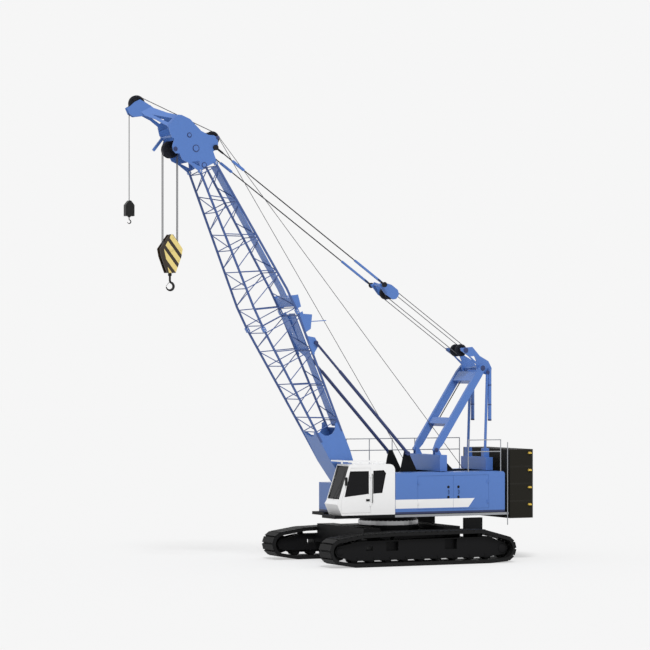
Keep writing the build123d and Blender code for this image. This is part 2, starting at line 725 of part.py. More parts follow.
# Visor over the windscreen and a rail along each side of the roof, on short feet
VISOR_FRONT = 2360
with BuildPart() as cab_guard:
    block((VISOR_FRONT - 260, CAB_INNER, CAB_ROOF + 90), (VISOR_FRONT, CAB_OUTER, CAB_ROOF + 130))
    for y in (CAB_INNER + 40, CAB_OUTER - 80):
        block((CAB_REAR + 300, y, CAB_ROOF + 60), (VISOR_FRONT - 200, y + 40, CAB_ROOF + 100))
        for x in (CAB_REAR + 320, 1300, SCREEN_TOP_X - 160):
            block((x, y, CAB_ROOF), (x + 50, y + 40, CAB_ROOF + 70))
keep(cab_guard, "cab_guard")

# Counterweight: a stack of slabs behind the housings
with BuildPart() as counterweight:
    for i in range(WEIGHT_SLABS):
        z = WEIGHT_BOTTOM + i * WEIGHT_SLAB
        with BuildSketch(Plane.XY.offset(z)) as slab_face:
            with Locations(((WEIGHT_FRONT + WEIGHT_BACK) / 2, 0)):
                Rectangle(WEIGHT_LENGTH, 2 * WEIGHT_HALF_WIDTH)
            chamfer(slab_face.vertices().group_by(Axis.X)[0], 70)
        extrude(amount=WEIGHT_SLAB - WEIGHT_SEAM)
        reach = WEIGHT_HALF_WIDTH + LUG_REACH
        lug = z + WEIGHT_SLAB - LUG_DROP
        block((WEIGHT_BACK + 110, -reach, lug - 20), (WEIGHT_BACK + 230, reach, lug + 20))
keep(counterweight, "counterweight")

# Gantry
with BuildPart() as gantry_front_base:
    block((FRONT_BOX_X - BOX_LENGTH, -BOX_HALF_WIDTH, WEB_TOP), (FRONT_BOX_X, BOX_HALF_WIDTH, BOX_TOP))
    for side in (1, -1):
        for y in (side * LEG_SIDE - LEG_HALF_WIDTH - SEAT_GAP - 35, side * LEG_SIDE + LEG_HALF_WIDTH + SEAT_GAP):
            slab(
                [
                    (FRONT_BOX_X, BOX_TOP),
                    (FRONT_BOX_X - 10, LEG_FOOT_Z + 60),
                    (FRONT_BOX_X - 110, LEG_FOOT_Z + 60),
                    (FRONT_BOX_X - 230, BOX_TOP),
                ],
                y,
                y + 35,
            )
keep(gantry_front_base, "gantry_front_base")

with BuildPart() as gantry_rear_base:
    half = REAR_BOX_HALF_WIDTH
    block((REAR_BOX_X - BOX_LENGTH, -half, WEB_TOP), (REAR_BOX_X, half, REAR_BOX_TOP))
    for y in (REAR_LEG_SIDE, -REAR_LEG_SIDE):
        foot_top = REAR_BOX_TOP + REAR_FOOT_HEIGHT
        block((REAR_LEG_FOOT_X - 100, y - 95, REAR_BOX_TOP), (REAR_LEG_FOOT_X + 100, y + 95, foot_top))
keep(gantry_rear_base, "gantry_rear_base")

# Sheet that slopes down behind the front base, over the auxiliary drum
GUARD_TOP = (FRONT_BOX_X - BOX_LENGTH - SEAT_GAP, BOX_TOP - 30)
GUARD_FOOT = (-2150, WEB_TOP + SEAT_GAP)
with BuildPart() as winch_guard:
    wedge = [GUARD_TOP, GUARD_FOOT, (GUARD_TOP[0], GUARD_FOOT[1])]
    slab(wedge, -WEB_OUTER, -WEB_OUTER + 12)
    slab(wedge, WEB_OUTER - 12, WEB_OUTER)
    lower = [(GUARD_TOP[0], GUARD_TOP[1] - 20), (GUARD_FOOT[0] + 22, GUARD_FOOT[1])]
    slab([GUARD_TOP, GUARD_FOOT, lower[1], lower[0]], -WEB_OUTER, WEB_OUTER)
keep(winch_guard, "winch_guard")

# Front legs, joined by two cross members; stations are measured from the feet
LEG_FOOT = Vector(LEG_FOOT_X, 0, LEG_FOOT_Z)
LEG_RUN = Vector(LEG_HEAD_X, 0, LEG_HEAD_Z) - LEG_FOOT
LEG_LENGTH = LEG_RUN.length
LEG_ALONG = LEG_RUN.normalized()


def leg_plane(y):
    """The side view at y in the directions of the front legs, from their foot pin."""
    return Plane(origin=(LEG_FOOT_X, y, LEG_FOOT_Z), x_dir=LEG_ALONG, z_dir=-LEFT)


with BuildPart() as gantry_legs:
    for side in (1, -1):
        y = side * LEG_SIDE
        half = LEG_HALF_DEPTH
        slab(
            [
                (-60, -60),
                (260, -half),
                (LEG_LENGTH - 200, -half),
                (LEG_LENGTH + 90, -80),
                (LEG_LENGTH + 90, 80),
                (LEG_LENGTH - 200, half),
                (260, half),
                (-60, 60),
            ],
            y - LEG_HALF_WIDTH,
            y + LEG_HALF_WIDTH,
            leg_plane,
        )
    for start, end, half in ((960, 1200, 90), (LEG_LENGTH - 560, LEG_LENGTH - 200, 100)):
        outline = [(start, -half), (end, -half), (end, half), (start, half)]
        slab(outline, -LEG_SIDE, LEG_SIDE, leg_plane)
keep(gantry_legs, "gantry_legs")

with BuildPart() as gantry_rear_legs:
    for side in (1, -1):
        y = side * REAR_LEG_SIDE
        foot = Vector(REAR_LEG_FOOT_X, y, REAR_BOX_TOP + REAR_FOOT_HEIGHT + 5 * SEAT_GAP)
        head = Vector(REAR_LEG_HEAD_X, y, REAR_LEG_HEAD_Z)
        bar(foot, head, REAR_LEG_RADIUS)
        # lifting cylinder beside the upper half of the leg
        back = Vector(2 - REAR_LEG_RADIUS - LIFT_RADIUS, 0, 0)
        bar(head + back - Vector(0, 0, 1600), head + back + Vector(0, 0, 120), LIFT_RADIUS)
keep(gantry_rear_legs, "gantry_rear_legs")

# Gantry head: two side plates, the pins through the legs and the sheave axle
HEAD_SIDE = 540
with BuildPart() as gantry_head:
    for low in (-HEAD_SIDE, HEAD_SIDE - 40):
        slab(
            [
                (GANTRY_TOP_X + 190, GANTRY_TOP_Z + 75),
                (GANTRY_TOP_X + 180, GANTRY_TOP_Z - 10),
                (GANTRY_TOP_X - 100, GANTRY_TOP_Z - 190),
                (LEG_HEAD_X + 130, LEG_HEAD_Z + 130),
                (LEG_HEAD_X + 110, LEG_HEAD_Z - 110),
                (REAR_LEG_HEAD_X, REAR_LEG_HEAD_Z - 80),
                (REAR_LEG_HEAD_X - 190, REAR_LEG_HEAD_Z - 60),
                (REAR_LEG_HEAD_X - 205, REAR_LEG_HEAD_Z + 140),
                (REAR_LEG_HEAD_X - 80, REAR_LEG_HEAD_Z + 370),
                (REAR_LEG_HEAD_X + 240, REAR_LEG_HEAD_Z + 540),
                (GANTRY_TOP_X - 250, GANTRY_TOP_Z + 110),
            ],
            low,
            low + 40,
        )
        # window below the sheaves
        slab(
            [
                (GANTRY_TOP_X - 180, GANTRY_TOP_Z - 210),
                (GANTRY_TOP_X - 330, GANTRY_TOP_Z - 190),
                (GANTRY_TOP_X - 420, GANTRY_TOP_Z - 400),
            ],
            low,
            low + 40,
            mode=Mode.SUBTRACT,
        )
    leg_inner = LEG_SIDE - LEG_HALF_WIDTH - SEAT_GAP
    bar((LEG_HEAD_X, -leg_inner, LEG_HEAD_Z), (LEG_HEAD_X, leg_inner, LEG_HEAD_Z), 55)
    rear_inner = REAR_LEG_SIDE - REAR_LEG_RADIUS - SEAT_GAP
    bar((REAR_LEG_HEAD_X, -rear_inner, REAR_LEG_HEAD_Z), (REAR_LEG_HEAD_X, rear_inner, REAR_LEG_HEAD_Z), 45)
keep(gantry_head, "gantry_head")

with BuildPart() as main_drum:
    drum(MAIN_DRUM, 500)
keep(main_drum, "main_drum")
with BuildPart() as aux_drum:
    drum(AUX_DRUM, 500)
keep(aux_drum, "aux_drum")
with BuildPart() as luffing_drum:
    drum(LUFF_DRUM, 500)
keep(luffing_drum, "luffing_drum")

# Hand rails: along the right housing, at the rear of the left one, with a pole beside the counterweight
RAIL_TOP = 3970
RAIL_DROP = 385
RAIL_RADIUS = 16
RIGHT_POSTS = (800, -50, -900, -1750, -2600, -3450)
LEFT_POSTS = (-2190, -3400)
for side, word, posts in ((1, "left", LEFT_POSTS), (-1, "right", RIGHT_POSTS)):
    y = side * (HOUSING_OUTER - 50)
    with BuildPart() as hand_rail:
        for z in (RAIL_TOP, RAIL_TOP - RAIL_DROP):
            bar((posts[0], y, z), (posts[-1], y, z), RAIL_RADIUS, 4)
        for x in posts:
            seat = RIGHT_FRONT_TOP if x > RIGHT_STEP else HOUSING_TOP
            bar((x, y, seat), (x, y, RAIL_TOP + RAIL_RADIUS), RAIL_RADIUS, 4)
        if side > 0:
            pole = DECK_HALF_WIDTH + RAIL_RADIUS + SEAT_GAP
            bar((DECK_REAR + 50, pole, 1160), (DECK_REAR + 50, pole, 3890), RAIL_RADIUS, 4)
    keep(hand_rail, f"hand_rail_{word}")

# Boom
# Along the boom, half width and half depth between the middles of the chords
BOOM_FORM = [
    (CHORD_START, 500, 400),
    (JOINT_AT, 655, 655),
    (PARALLEL_TO, 655, 655),
    (LATTICE_END, 450, 300),
]


def chord(along, side, face):
    """Middle of a chord: side is 1 left or -1 right, face is 1 upper or -1 lower."""
    for (a0, w0, d0), (a1, w1, d1) in zip(BOOM_FORM, BOOM_FORM[1:]):
        if along <= a1 or a1 == LATTICE_END:
            t = (along - a0) / (a1 - a0)
            return boom_point(along, face * (d0 + (d1 - d0) * t), side * (w0 + (w1 - w0) * t))


# The four faces of the lattice, each between two chords: side and face of both
FACES = [((1, 1), (-1, 1)), ((1, -1), (-1, -1)), ((1, 1), (1, -1)), ((-1, 1), (-1, -1))]


def lattice(start, end, panels):
    """Zigzag lacing on the four faces, with a cross bar at every second turn."""
    turns = 2 * panels
    stations = [start + (end - start) * i / turns for i in range(turns + 1)]
    runs = []
    for a, b in FACES:
        for i, (s0, s1) in enumerate(zip(stations, stations[1:])):
            near, far = (a, b) if i % 2 == 0 else (b, a)
            runs.append((chord(s0 + LACING_GAP, *near), chord(s1 - LACING_GAP, *far)))
        runs += [(chord(s, *a), chord(s, *b)) for s in stations[::2]]
    bars(runs, LACING_RADIUS, 4, CHORD_RADIUS / 2)


def couple(start, end):
    """Square ends of the four chords, where one section is pinned to the next."""
    middle = (start + end) / 2
    for side, face in CORNERS:
        centre = chord(middle, side, face)
        y = centre.Y
        rise = (centre - boom_point(0, 0, y)).dot(RISE)
        low, high = rise - COUPLING / 2, rise + COUPLING / 2
        outline = [(start, low), (end, low), (end, high), (start, high)]
        slab(outline, y - COUPLING / 2, y + COUPLING / 2, boom_plane)


CORNERS = [(1, 1), (1, -1), (-1, 1), (-1, -1)]
BASE_END = JOINT_AT - COUPLING_LENGTH
TIP_START = JOINT_AT + COUPLING_LENGTH
TIP_END = LATTICE_END - COUPLING_LENGTH
with BuildPart() as boom_base:
    bars([(chord(CHORD_START, *c), chord(BASE_END, *c)) for c in CORNERS], CHORD_RADIUS)
    lattice(PLATE_END + 60, BASE_END - 60, 3)
    couple(BASE_END - 10, JOINT_AT)
    for side in (1, -1):
        y = side * FOOT_SIDE
        slab(
            [
                (-90, -80),
                (900, -270),
                (1700, -390),
                (PLATE_END, -455),
                (PLATE_END, 455),
                (1700, 390),
                (900, 270),
                (-90, 80),
            ],
            y - 20,
            y + 20,
            boom_plane,
        )
        bar(boom_point(0, 0, y - 50), boom_point(0, 0, y + 50), 115, 16)
        tube(boom_point(0, 0, y - 50), boom_point(0, 0, y + 50), FOOT_PIN + PIN_GAP, Mode.SUBTRACT)
        cut = boom_point(PLATE_END + 40, 0, y - 50), boom_point(PLATE_END + 40, 0, y + 50)
        bar(*cut, 290, 12, Mode.SUBTRACT)
        # lug for the backstop over the upper chord, on a pad
        hung = BACKSTOP_HEAD_AT[0]
        lug_outer = side * (BACKSTOP_SIDE - BACKSTOP_EYE - SEAT_GAP)
        lug_inner = lug_outer - side * 30
        pad_inner = lug_outer - side * 110
        slab(
            [(hung + a, r) for a, r in ((-320, 540), (360, 580), (160, 850), (-70, 870), (-160, 800))],
            min(lug_outer, lug_inner),
            max(lug_outer, lug_inner),
            boom_plane,
        )
        slab(
            [(hung - 320, 555), (hung + 360, 595), (hung + 360, 645), (hung - 320, 610)],
            min(lug_outer, pad_inner),
            max(lug_outer, pad_inner),
            boom_plane,
        )
        # bracket plate over the joint's lower side, with its rope guide
        slab(
            [
                (JOINT_AT - 80, 640),
                (JOINT_AT - 80, 830),
                (JOINT_AT - 163, 815),
                (JOINT_AT - 321, 1090),
                (JOINT_AT - 575, 925),
                (JOINT_AT - 713, 840),
                (JOINT_AT - 740, 620),
            ],
            *sorted((side * 628, side * 656)),
            boom_plane,
        )
    guide = boom_point(JOINT_AT - 510, 960, 642)
    bar(guide, boom_point(JOINT_AT - 740, 1500, 520), 14, 4)
    # covers on the front and rear faces of the foot; the front one has a round edge
    for face, end in ((-1, PLATE_END + 80), (1, PLATE_END - 220)):
        outline = [(900, 270), (1700, 390), (end, 440), (end, 415), (1700, 365), (900, 245)]
        slab([(a, face * r) for a, r in outline], -FOOT_SIDE, FOOT_SIDE, boom_plane)
    bar(boom_point(PLATE_END + 300, -700), boom_point(PLATE_END + 300, -200), 420, 16, Mode.SUBTRACT)
    # stiffening plate on the upper face, with a window
    with BuildSketch(Plane(origin=boom_point(JOINT_AT, 600), x_dir=ALONG, z_dir=RISE)) as plate:
        with BuildLine():
            Polyline((-140, -650), (-140, -128), (-1640, -128), (-1320, -590), close=True)
        make_face()
        with BuildLine():
            Polyline((-590, -470), (-770, -330), (-830, -500), close=True)
        make_face(mode=Mode.SUBTRACT)
    extrude(amount=50)
keep(boom_base, "boom_base")

with BuildPart() as boom_tip:
    bars([(chord(TIP_START, *c), chord(PARALLEL_TO, *c)) for c in CORNERS], CHORD_RADIUS)
    bars([(chord(PARALLEL_TO, *c), chord(TIP_END, *c)) for c in CORNERS], CHORD_RADIUS)
    lattice(TIP_START + 60, TIP_END - 60, 4)
    couple(JOINT_AT, TIP_START + 10)
    couple(TIP_END - 10, LATTICE_END)
    # bracket plates and the cross member over the joint's upper side
    for side in (1, -1):
        slab(
            [(JOINT_AT + 560, 640), (JOINT_AT + 473, 930), (JOINT_AT + 80, 850), (JOINT_AT + 80, 640)],
            *sorted((side * 628, side * 656)),
            boom_plane,
        )
    member = [(JOINT_AT + 170, 660), (JOINT_AT + 170, 820), (JOINT_AT + 490, 860), (JOINT_AT + 490, 660)]
    slab(member, -640, 640, boom_plane)
keep(boom_tip, "boom_tip")

with BuildPart() as boom_head:
    for low in (-HEAD_HALF_WIDTH, HEAD_HALF_WIDTH - HEAD_PLATE):
        slab(
            [
                (LATTICE_END, -350),
                (LATTICE_END, 350),
                (LATTICE_END + 340, 385),
                (LATTICE_END + 350, 570),
                (LATTICE_END + 510, 660),
                (LATTICE_END + 670, 715),
                (LATTICE_END + 780, 640),
                (LATTICE_END + 880, 470),
                (LATTICE_END + 978, 395),
                (LATTICE_END + 1101, 300),
                (ARM_ROOT + 38, 126),
                (ARM_ROOT + 269, -75),
                (ARM_ROOT + 330, -180),
                (ARM_ROOT + 160, -640),
                (ARM_ROOT - 100, -700),
                (LATTICE_END + 1240, -650),
                (LATTICE_END + 1080, -810),
                (LATTICE_END + 940, -845),
                (LATTICE_END + 820, -800),
                (LATTICE_END + 770, -690),
                (LATTICE_END + 550, -690),
                (LATTICE_END + 370, -540),
            ],
            low,
            low + HEAD_PLATE,
            boom_plane,
        )
        # window in the lower corner
        corner = [(LATTICE_END + 350, -440), (LATTICE_END + 280, -180), (LATTICE_END + 100, -240)]
        slab(corner, low, low + HEAD_PLATE, boom_plane, Mode.SUBTRACT)
    # cross pins that show as rings on the plates: place along, rise, radius
    for place, rise, radius in ((1147, -126, 50), (677, -109, 85), (85, -91, 60)):
        along = LATTICE_END + place
        reach = HEAD_HALF_WIDTH + 15
        bar(boom_point(along, rise, -reach), boom_point(along, rise, reach), radius)
    # horn across the front of the main sheaves
    horn = boom_point(LATTICE_END + 1350, -660), boom_point(LATTICE_END + 1130, -1130)
    bar(horn[0] - LEFT * HEAD_HALF_WIDTH, horn[0] + LEFT * HEAD_HALF_WIDTH, 45)
    bar(horn[0] - LEFT * 380, horn[1] - LEFT * 380, 42, 4)
    # arm plates drawn in from the head's width to the nose
    for side in (1, -1):
        root = boom_point(ARM_ROOT, 0, side * (HEAD_HALF_WIDTH - HEAD_PLATE))
        nose = boom_point(ARM_NOSE, 0, side * NOSE_INNER)
        run = (nose - root).normalized()
        stretch = (nose - root).length / (ARM_NOSE - ARM_ROOT)
        outline = [
            (ARM_ROOT + 40, 110),
            (ARM_ROOT + 269, -80),
            (ARM_NOSE - 440, -400),
            (ARM_NOSE - 120, -715),
            (ARM_NOSE, -760),
            (ARM_NOSE, -1180),
            (ARM_NOSE - 200, -1110),
            (ARM_NOSE - 480, -850),
            (ARM_ROOT + 160, -645),
            (ARM_ROOT + 40, -660),
        ]
        window = [(ARM_NOSE - 280, -880), (ARM_ROOT + 300, -360), (ARM_ROOT + 240, -560)]
        plane = Plane(origin=root, x_dir=run, z_dir=run.cross(RISE) * -1)
        if plane.y_dir.dot(RISE) < 0:
            plane = Plane(origin=root, x_dir=run, z_dir=run.cross(RISE))
        for points, mode in ((outline, Mode.ADD), (window, Mode.SUBTRACT)):
            with BuildSketch(plane) as face:
                with BuildLine():
                    Polyline(*[((a - ARM_ROOT) * stretch, r) for a, r in points], close=True)
                make_face()
            extrude(face.sketch, amount=NOSE_PLATE, both=mode == Mode.SUBTRACT, mode=mode)
        slab(
            [
                (ARM_NOSE - 120, -700),
                (ARM_NOSE + 126, -860),
                (ARM_NOSE + 302, -1000),
                (ARM_NOSE + 302, -1200),
                (ARM_NOSE + 250, -1400),
                (ARM_NOSE + 240, -1517),
                (ARM_NOSE + 23, -1524),
                (ARM_NOSE - 118, -1418),
                (ARM_NOSE - 180, -1235),
                (ARM_NOSE - 233, -1064),
            ],
            *sorted((side * NOSE_INNER, side * (NOSE_INNER + NOSE_PLATE))),
            boom_plane,
        )
    tie = ARM_NOSE - 38
    bar(boom_point(tie, -1365, -NOSE_INNER), boom_point(tie, -1365, NOSE_INNER), 30)
keep(boom_head, "boom_head")

MAIN_AXLE = boom_point(*MAIN_SHEAVE_AT)
GUIDE_AXLE = boom_point(*GUIDE_SHEAVE_AT)
NOSE_AXLE = boom_point(*NOSE_SHEAVE_AT)


def level_plane(centre):
    """A side view about an axle, its x level, so that a wheel's corner meets a hanging rope."""
    return Plane(origin=centre, x_dir=(1, 0, 0), z_dir=-LEFT)


HEAD_INNER = HEAD_HALF_WIDTH - HEAD_PLATE - SEAT_GAP
with BuildPart() as main_sheaves:
    sheaves(level_plane(MAIN_AXLE), (-BLOCK_SPREAD, BLOCK_SPREAD), MAIN_PITCH_RADIUS, 50, HEAD_INNER)
keep(main_sheaves, "main_sheaves")
with BuildPart() as guide_sheaves:
    sheaves(level_plane(GUIDE_AXLE), (0,), GUIDE_PITCH_RADIUS, 40, HEAD_INNER)
keep(guide_sheaves, "guide_sheaves")
with BuildPart() as nose_sheave:
    sheaves(level_plane(NOSE_AXLE), (0,), NOSE_PITCH_RADIUS, 35, NOSE_INNER - SEAT_GAP)
keep(nose_sheave, "nose_sheave")

# Walkway on the boom's upper face
with BuildPart() as boom_walkway:
    runs = ((PLATE_END - 160, JOINT_AT - 80), (JOINT_AT + 510, PARALLEL_TO), (PARALLEL_TO, LATTICE_END - 150))
    for start, end in runs:
        first, last = [
            (chord(along, 1, 1) - boom_point(0, 0)).dot(RISE) + LACING_RADIUS + 1.6 for along in (start, end)
        ]
        slab([(start, first), (end, last), (end, last + 30), (start, first + 30)], -120, 320, boom_plane)
keep(boom_walkway, "boom_walkway")

# Luffing gear: falls from the gantry head to the bridle, stays from the bridle to the boom head
STAY_PIN = boom_point(*STAY_PIN_AT)
GANTRY_TOP = Vector(GANTRY_TOP_X, 0, GANTRY_TOP_Z)
LUFF_RUN = (STAY_PIN - GANTRY_TOP).normalized()
LUFF_UP = Vector(-LUFF_RUN.Z, 0, LUFF_RUN.X)
BRIDLE_PIN = GANTRY_TOP + LUFF_RUN * BRIDLE_DISTANCE
BRIDLE_AXLE = GANTRY_TOP + LUFF_RUN * (BRIDLE_DISTANCE - BRIDLE_ARM)


def luff_plane(y):
    """The side view at y along the luffing gear, from the gantry's sheave axle."""
    return Plane(origin=GANTRY_TOP + LEFT * y, x_dir=LUFF_RUN, z_dir=-LEFT)


def across_luff(centre):
    """A side view about an axle, its x across the falls, so that a wheel's corner meets them."""
    return Plane(origin=centre, x_dir=LUFF_UP, z_dir=-LEFT)


LUFF_LINES = (-LUFF_SPREAD, LUFF_SPREAD)
with BuildPart() as gantry_sheaves:
    sheaves(across_luff(GANTRY_TOP), LUFF_LINES, LUFF_PITCH_RADIUS, 50, HEAD_SIDE - 40 - SEAT_GAP)
keep(gantry_sheaves, "gantry_sheaves")

FALL_LENGTH = BRIDLE_DISTANCE - BRIDLE_ARM
with BuildPart() as luffing_falls:
    for y in LUFF_LINES:
        for up in (1, -1):
            reach = LUFF_UP * (up * LUFF_PITCH_RADIUS)
            start = GANTRY_TOP + reach + LEFT * y
            bar(start, start + LUFF_RUN * FALL_LENGTH, ROPE_RADIUS)
keep(luffing_falls, "luffing_falls")

with BuildPart() as bridle:
    for low in (-290, 260):
        slab(
            [
                (FALL_LENGTH - 250, -60),
                (FALL_LENGTH - 250, 110),
                (FALL_LENGTH - 130, 215),
                (FALL_LENGTH + 160, 215),
                (BRIDLE_DISTANCE + 60, 80),
                (BRIDLE_DISTANCE + 60, -80),
                (FALL_LENGTH + 160, -170),
                (FALL_LENGTH - 160, -150),
            ],
            low,
            low + 30,
            luff_plane,
        )
    bar(BRIDLE_PIN - LEFT * HEAD_HALF_WIDTH, BRIDLE_PIN + LEFT * HEAD_HALF_WIDTH, 45)
keep(bridle, "bridle")

with BuildPart() as bridle_sheaves:
    sheaves(across_luff(BRIDLE_AXLE), LUFF_LINES, LUFF_PITCH_RADIUS, 45, 260 - SEAT_GAP)
keep(bridle_sheaves, "bridle_sheaves")

STAY_END = STAY_PIN - BRIDLE_PIN
with BuildPart() as pendants:
    for side in (1, -1):
        y = side * STAY_SIDE
        start = BRIDLE_PIN + LEFT * y
        end = STAY_PIN + LEFT * y
        run = (end - start).normalized()
        bar(start + run * 60, end - run * 60, STAY_RADIUS)
        for place in (start, end):
            bar(place - LEFT * STAY_EYE, place + LEFT * STAY_EYE, 88, 12)
keep(pendants, "pendants")

# Backstops: tubes hinged on the gantry's base, rods that reach the boom
BACKSTOP_FOOT = Vector(BACKSTOP_FOOT_X, 0, BACKSTOP_FOOT_Z)
BACKSTOP_HEAD = boom_point(*BACKSTOP_HEAD_AT)
BACKSTOP_RUN = (BACKSTOP_HEAD - BACKSTOP_FOOT).normalized()
with BuildPart() as backstop_tubes:
    for side in (1, -1):
        foot = BACKSTOP_FOOT + LEFT * (side * BACKSTOP_SIDE)
        bar(foot, foot + BACKSTOP_RUN * BACKSTOP_TUBE_LENGTH, BACKSTOP_TUBE_RADIUS, 12)
        inner = LEFT * (side * (BACKSTOP_SIDE - WEB_OUTER - SEAT_GAP))
        bar(foot - inner, foot + LEFT * (side * BACKSTOP_EYE), 70, 12)
        bore = foot + BACKSTOP_RUN * 300, foot + BACKSTOP_RUN * BACKSTOP_TUBE_LENGTH
        bar(*bore, BACKSTOP_ROD_RADIUS + SEAT_GAP, 8, Mode.SUBTRACT)
keep(backstop_tubes, "backstop_tubes")

with BuildPart() as backstop_rods:
    for side in (1, -1):
        head = BACKSTOP_HEAD + LEFT * (side * BACKSTOP_SIDE)
        bar(head - BACKSTOP_RUN * BACKSTOP_ROD_LENGTH, head, BACKSTOP_ROD_RADIUS)
        bar(head - LEFT * BACKSTOP_EYE, head + LEFT * BACKSTOP_EYE, 62, 12)
keep(backstop_rods, "backstop_rods")

# Main falls, block and hook
with BuildPart() as main_falls:
    for y in (-BLOCK_SPREAD, BLOCK_SPREAD):
        for x in (MAIN_AXLE.X - MAIN_PITCH_RADIUS, MAIN_AXLE.X + MAIN_PITCH_RADIUS):
            bar((x, y, BLOCK_SHEAVE_Z), (x, y, MAIN_AXLE.Z), ROPE_RADIUS)
keep(main_falls, "main_falls")

BLOCK_X = MAIN_AXLE.X
with BuildPart() as main_block:
    for low in (-125, 95):
        slab(
            [
                (BLOCK_X - 60, BLOCK_TOP),
                (BLOCK_X + 60, BLOCK_TOP),
                (BLOCK_X + 390, BLOCK_SHEAVE_Z),
                (BLOCK_X + 345, BLOCK_SHEAVE_Z - 240),
                (BLOCK_X + 150, BLOCK_BOTTOM),
                (BLOCK_X - 150, BLOCK_BOTTOM),
                (BLOCK_X - 345, BLOCK_SHEAVE_Z - 240),
                (BLOCK_X - 390, BLOCK_SHEAVE_Z),
            ],
            low,
            low + 30,
        )
    block((BLOCK_X - 110, -95, BLOCK_BOTTOM + 60), (BLOCK_X + 110, 95, BLOCK_BOTTOM + 200))
keep(main_block, "main_block")

with BuildPart() as block_sheaves:
    block_axle = level_plane((BLOCK_X, 0, BLOCK_SHEAVE_Z))
    sheaves(block_axle, (-BLOCK_SPREAD, BLOCK_SPREAD), MAIN_PITCH_RADIUS, 45, 95 - SEAT_GAP)
keep(block_sheaves, "block_sheaves")

HOOK_BOTTOM = BLOCK_BOTTOM - HOOK_DROP
HOOK_TOP = BLOCK_BOTTOM + 60


def hook(x, top, bottom, bowl, thickness):
    """A single crane hook: shank, bowl and tip, seen from the side."""
    centre = bottom + bowl + thickness
    outer = bowl + thickness
    with BuildSketch(side_plane(thickness / 2)) as face:
        with Locations((x, centre)):
            RegularPolygon(outer, 20)
            RegularPolygon(bowl, 20, mode=Mode.SUBTRACT)
        with Locations((x + outer, centre + outer)):
            Rectangle(2 * outer, 2 * outer - bowl / 2, mode=Mode.SUBTRACT)
        with Locations((x, (top + centre + bowl) / 2)):
            Rectangle(thickness, top - centre - bowl)
    extrude(face.sketch, amount=thickness)


with BuildPart() as main_hook:
    hook(BLOCK_X, HOOK_TOP - SEAT_GAP, HOOK_BOTTOM, 105, 62)
keep(main_hook, "main_hook")

# Auxiliary line over the nose
with BuildPart() as aux_falls:
    with BuildSketch(side_plane(ROPE_RADIUS)) as wrap:
        with Locations((NOSE_AXLE.X, NOSE_AXLE.Z)):
            RegularPolygon(NOSE_PITCH_RADIUS + ROPE_RADIUS, WHEEL_SIDES, major_radius=False)
            RegularPolygon(NOSE_PITCH_RADIUS - ROPE_RADIUS, WHEEL_SIDES, major_radius=False, mode=Mode.SUBTRACT)
        with Locations((NOSE_AXLE.X, NOSE_AXLE.Z - NOSE_PITCH_RADIUS)):
            Rectangle(4 * NOSE_PITCH_RADIUS, 2 * NOSE_PITCH_RADIUS, mode=Mode.SUBTRACT)
        with Locations((NOSE_AXLE.X - NOSE_PITCH_RADIUS, NOSE_AXLE.Z)):
            Rectangle(2 * NOSE_PITCH_RADIUS, 4 * NOSE_PITCH_RADIUS, mode=Mode.SUBTRACT)
        # the hanging part goes up past the wheel when the line is hauled in
        with Locations((AUX_X - ROPE_RADIUS - WRAP_CLEARANCE + NOSE_PITCH_RADIUS, NOSE_AXLE.Z)):
            Rectangle(2 * NOSE_PITCH_RADIUS, 4 * NOSE_PITCH_RADIUS, mode=Mode.SUBTRACT)
    extrude(amount=2 * ROPE_RADIUS)
keep(aux_falls, "aux_falls")

with BuildPart() as aux_rope:
    bar((AUX_X, 0, AUX_TOP), (AUX_X, 0, NOSE_AXLE.Z - SEAT_GAP), ROPE_RADIUS)
keep(aux_rope, "aux_rope")

with BuildPart() as aux_hook:
    slab(
        [
            (AUX_X - AUX_HALF, AUX_BALL_BOTTOM),
            (AUX_X + AUX_HALF, AUX_BALL_BOTTOM),
            (AUX_X + AUX_HALF, AUX_BALL_TOP - 60),
            (AUX_X + 30, AUX_TOP),
            (AUX_X - 30, AUX_TOP),
            (AUX_X - AUX_HALF, AUX_BALL_TOP - 60),
        ],
        -100,
        100,
    )
    hook(AUX_X, AUX_BALL_BOTTOM, AUX_BALL_BOTTOM - AUX_HOOK_DROP, 45, 30)
keep(aux_hook, "aux_hook")
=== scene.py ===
import bmesh
import bpy
from math import atan2, copysign, cos, degrees, pi, radians, sin, sqrt
from mathutils import Matrix, Vector


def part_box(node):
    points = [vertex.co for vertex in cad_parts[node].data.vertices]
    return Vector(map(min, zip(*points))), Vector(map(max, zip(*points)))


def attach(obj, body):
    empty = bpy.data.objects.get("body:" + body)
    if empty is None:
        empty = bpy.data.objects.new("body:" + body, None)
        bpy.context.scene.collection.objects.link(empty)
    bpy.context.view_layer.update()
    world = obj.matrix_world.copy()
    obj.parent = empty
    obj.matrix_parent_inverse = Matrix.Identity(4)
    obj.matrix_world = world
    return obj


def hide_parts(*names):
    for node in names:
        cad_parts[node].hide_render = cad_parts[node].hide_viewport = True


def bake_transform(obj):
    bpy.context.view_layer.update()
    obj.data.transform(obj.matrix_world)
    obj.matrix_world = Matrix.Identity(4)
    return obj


# Looks of the crawler crane: paint, ropes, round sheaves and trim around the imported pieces.
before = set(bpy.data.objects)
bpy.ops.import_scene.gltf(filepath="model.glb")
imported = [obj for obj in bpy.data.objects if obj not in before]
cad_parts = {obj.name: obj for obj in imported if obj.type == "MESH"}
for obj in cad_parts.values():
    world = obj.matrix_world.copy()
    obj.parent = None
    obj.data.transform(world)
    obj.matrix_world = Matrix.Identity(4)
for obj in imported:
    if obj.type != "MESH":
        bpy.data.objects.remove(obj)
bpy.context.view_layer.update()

# The machine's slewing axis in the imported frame, from the slewing ring's own box.
# Places below are in metres from that axis on the ground, as in the part's source.
ring_low, ring_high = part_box("slewing_ring")
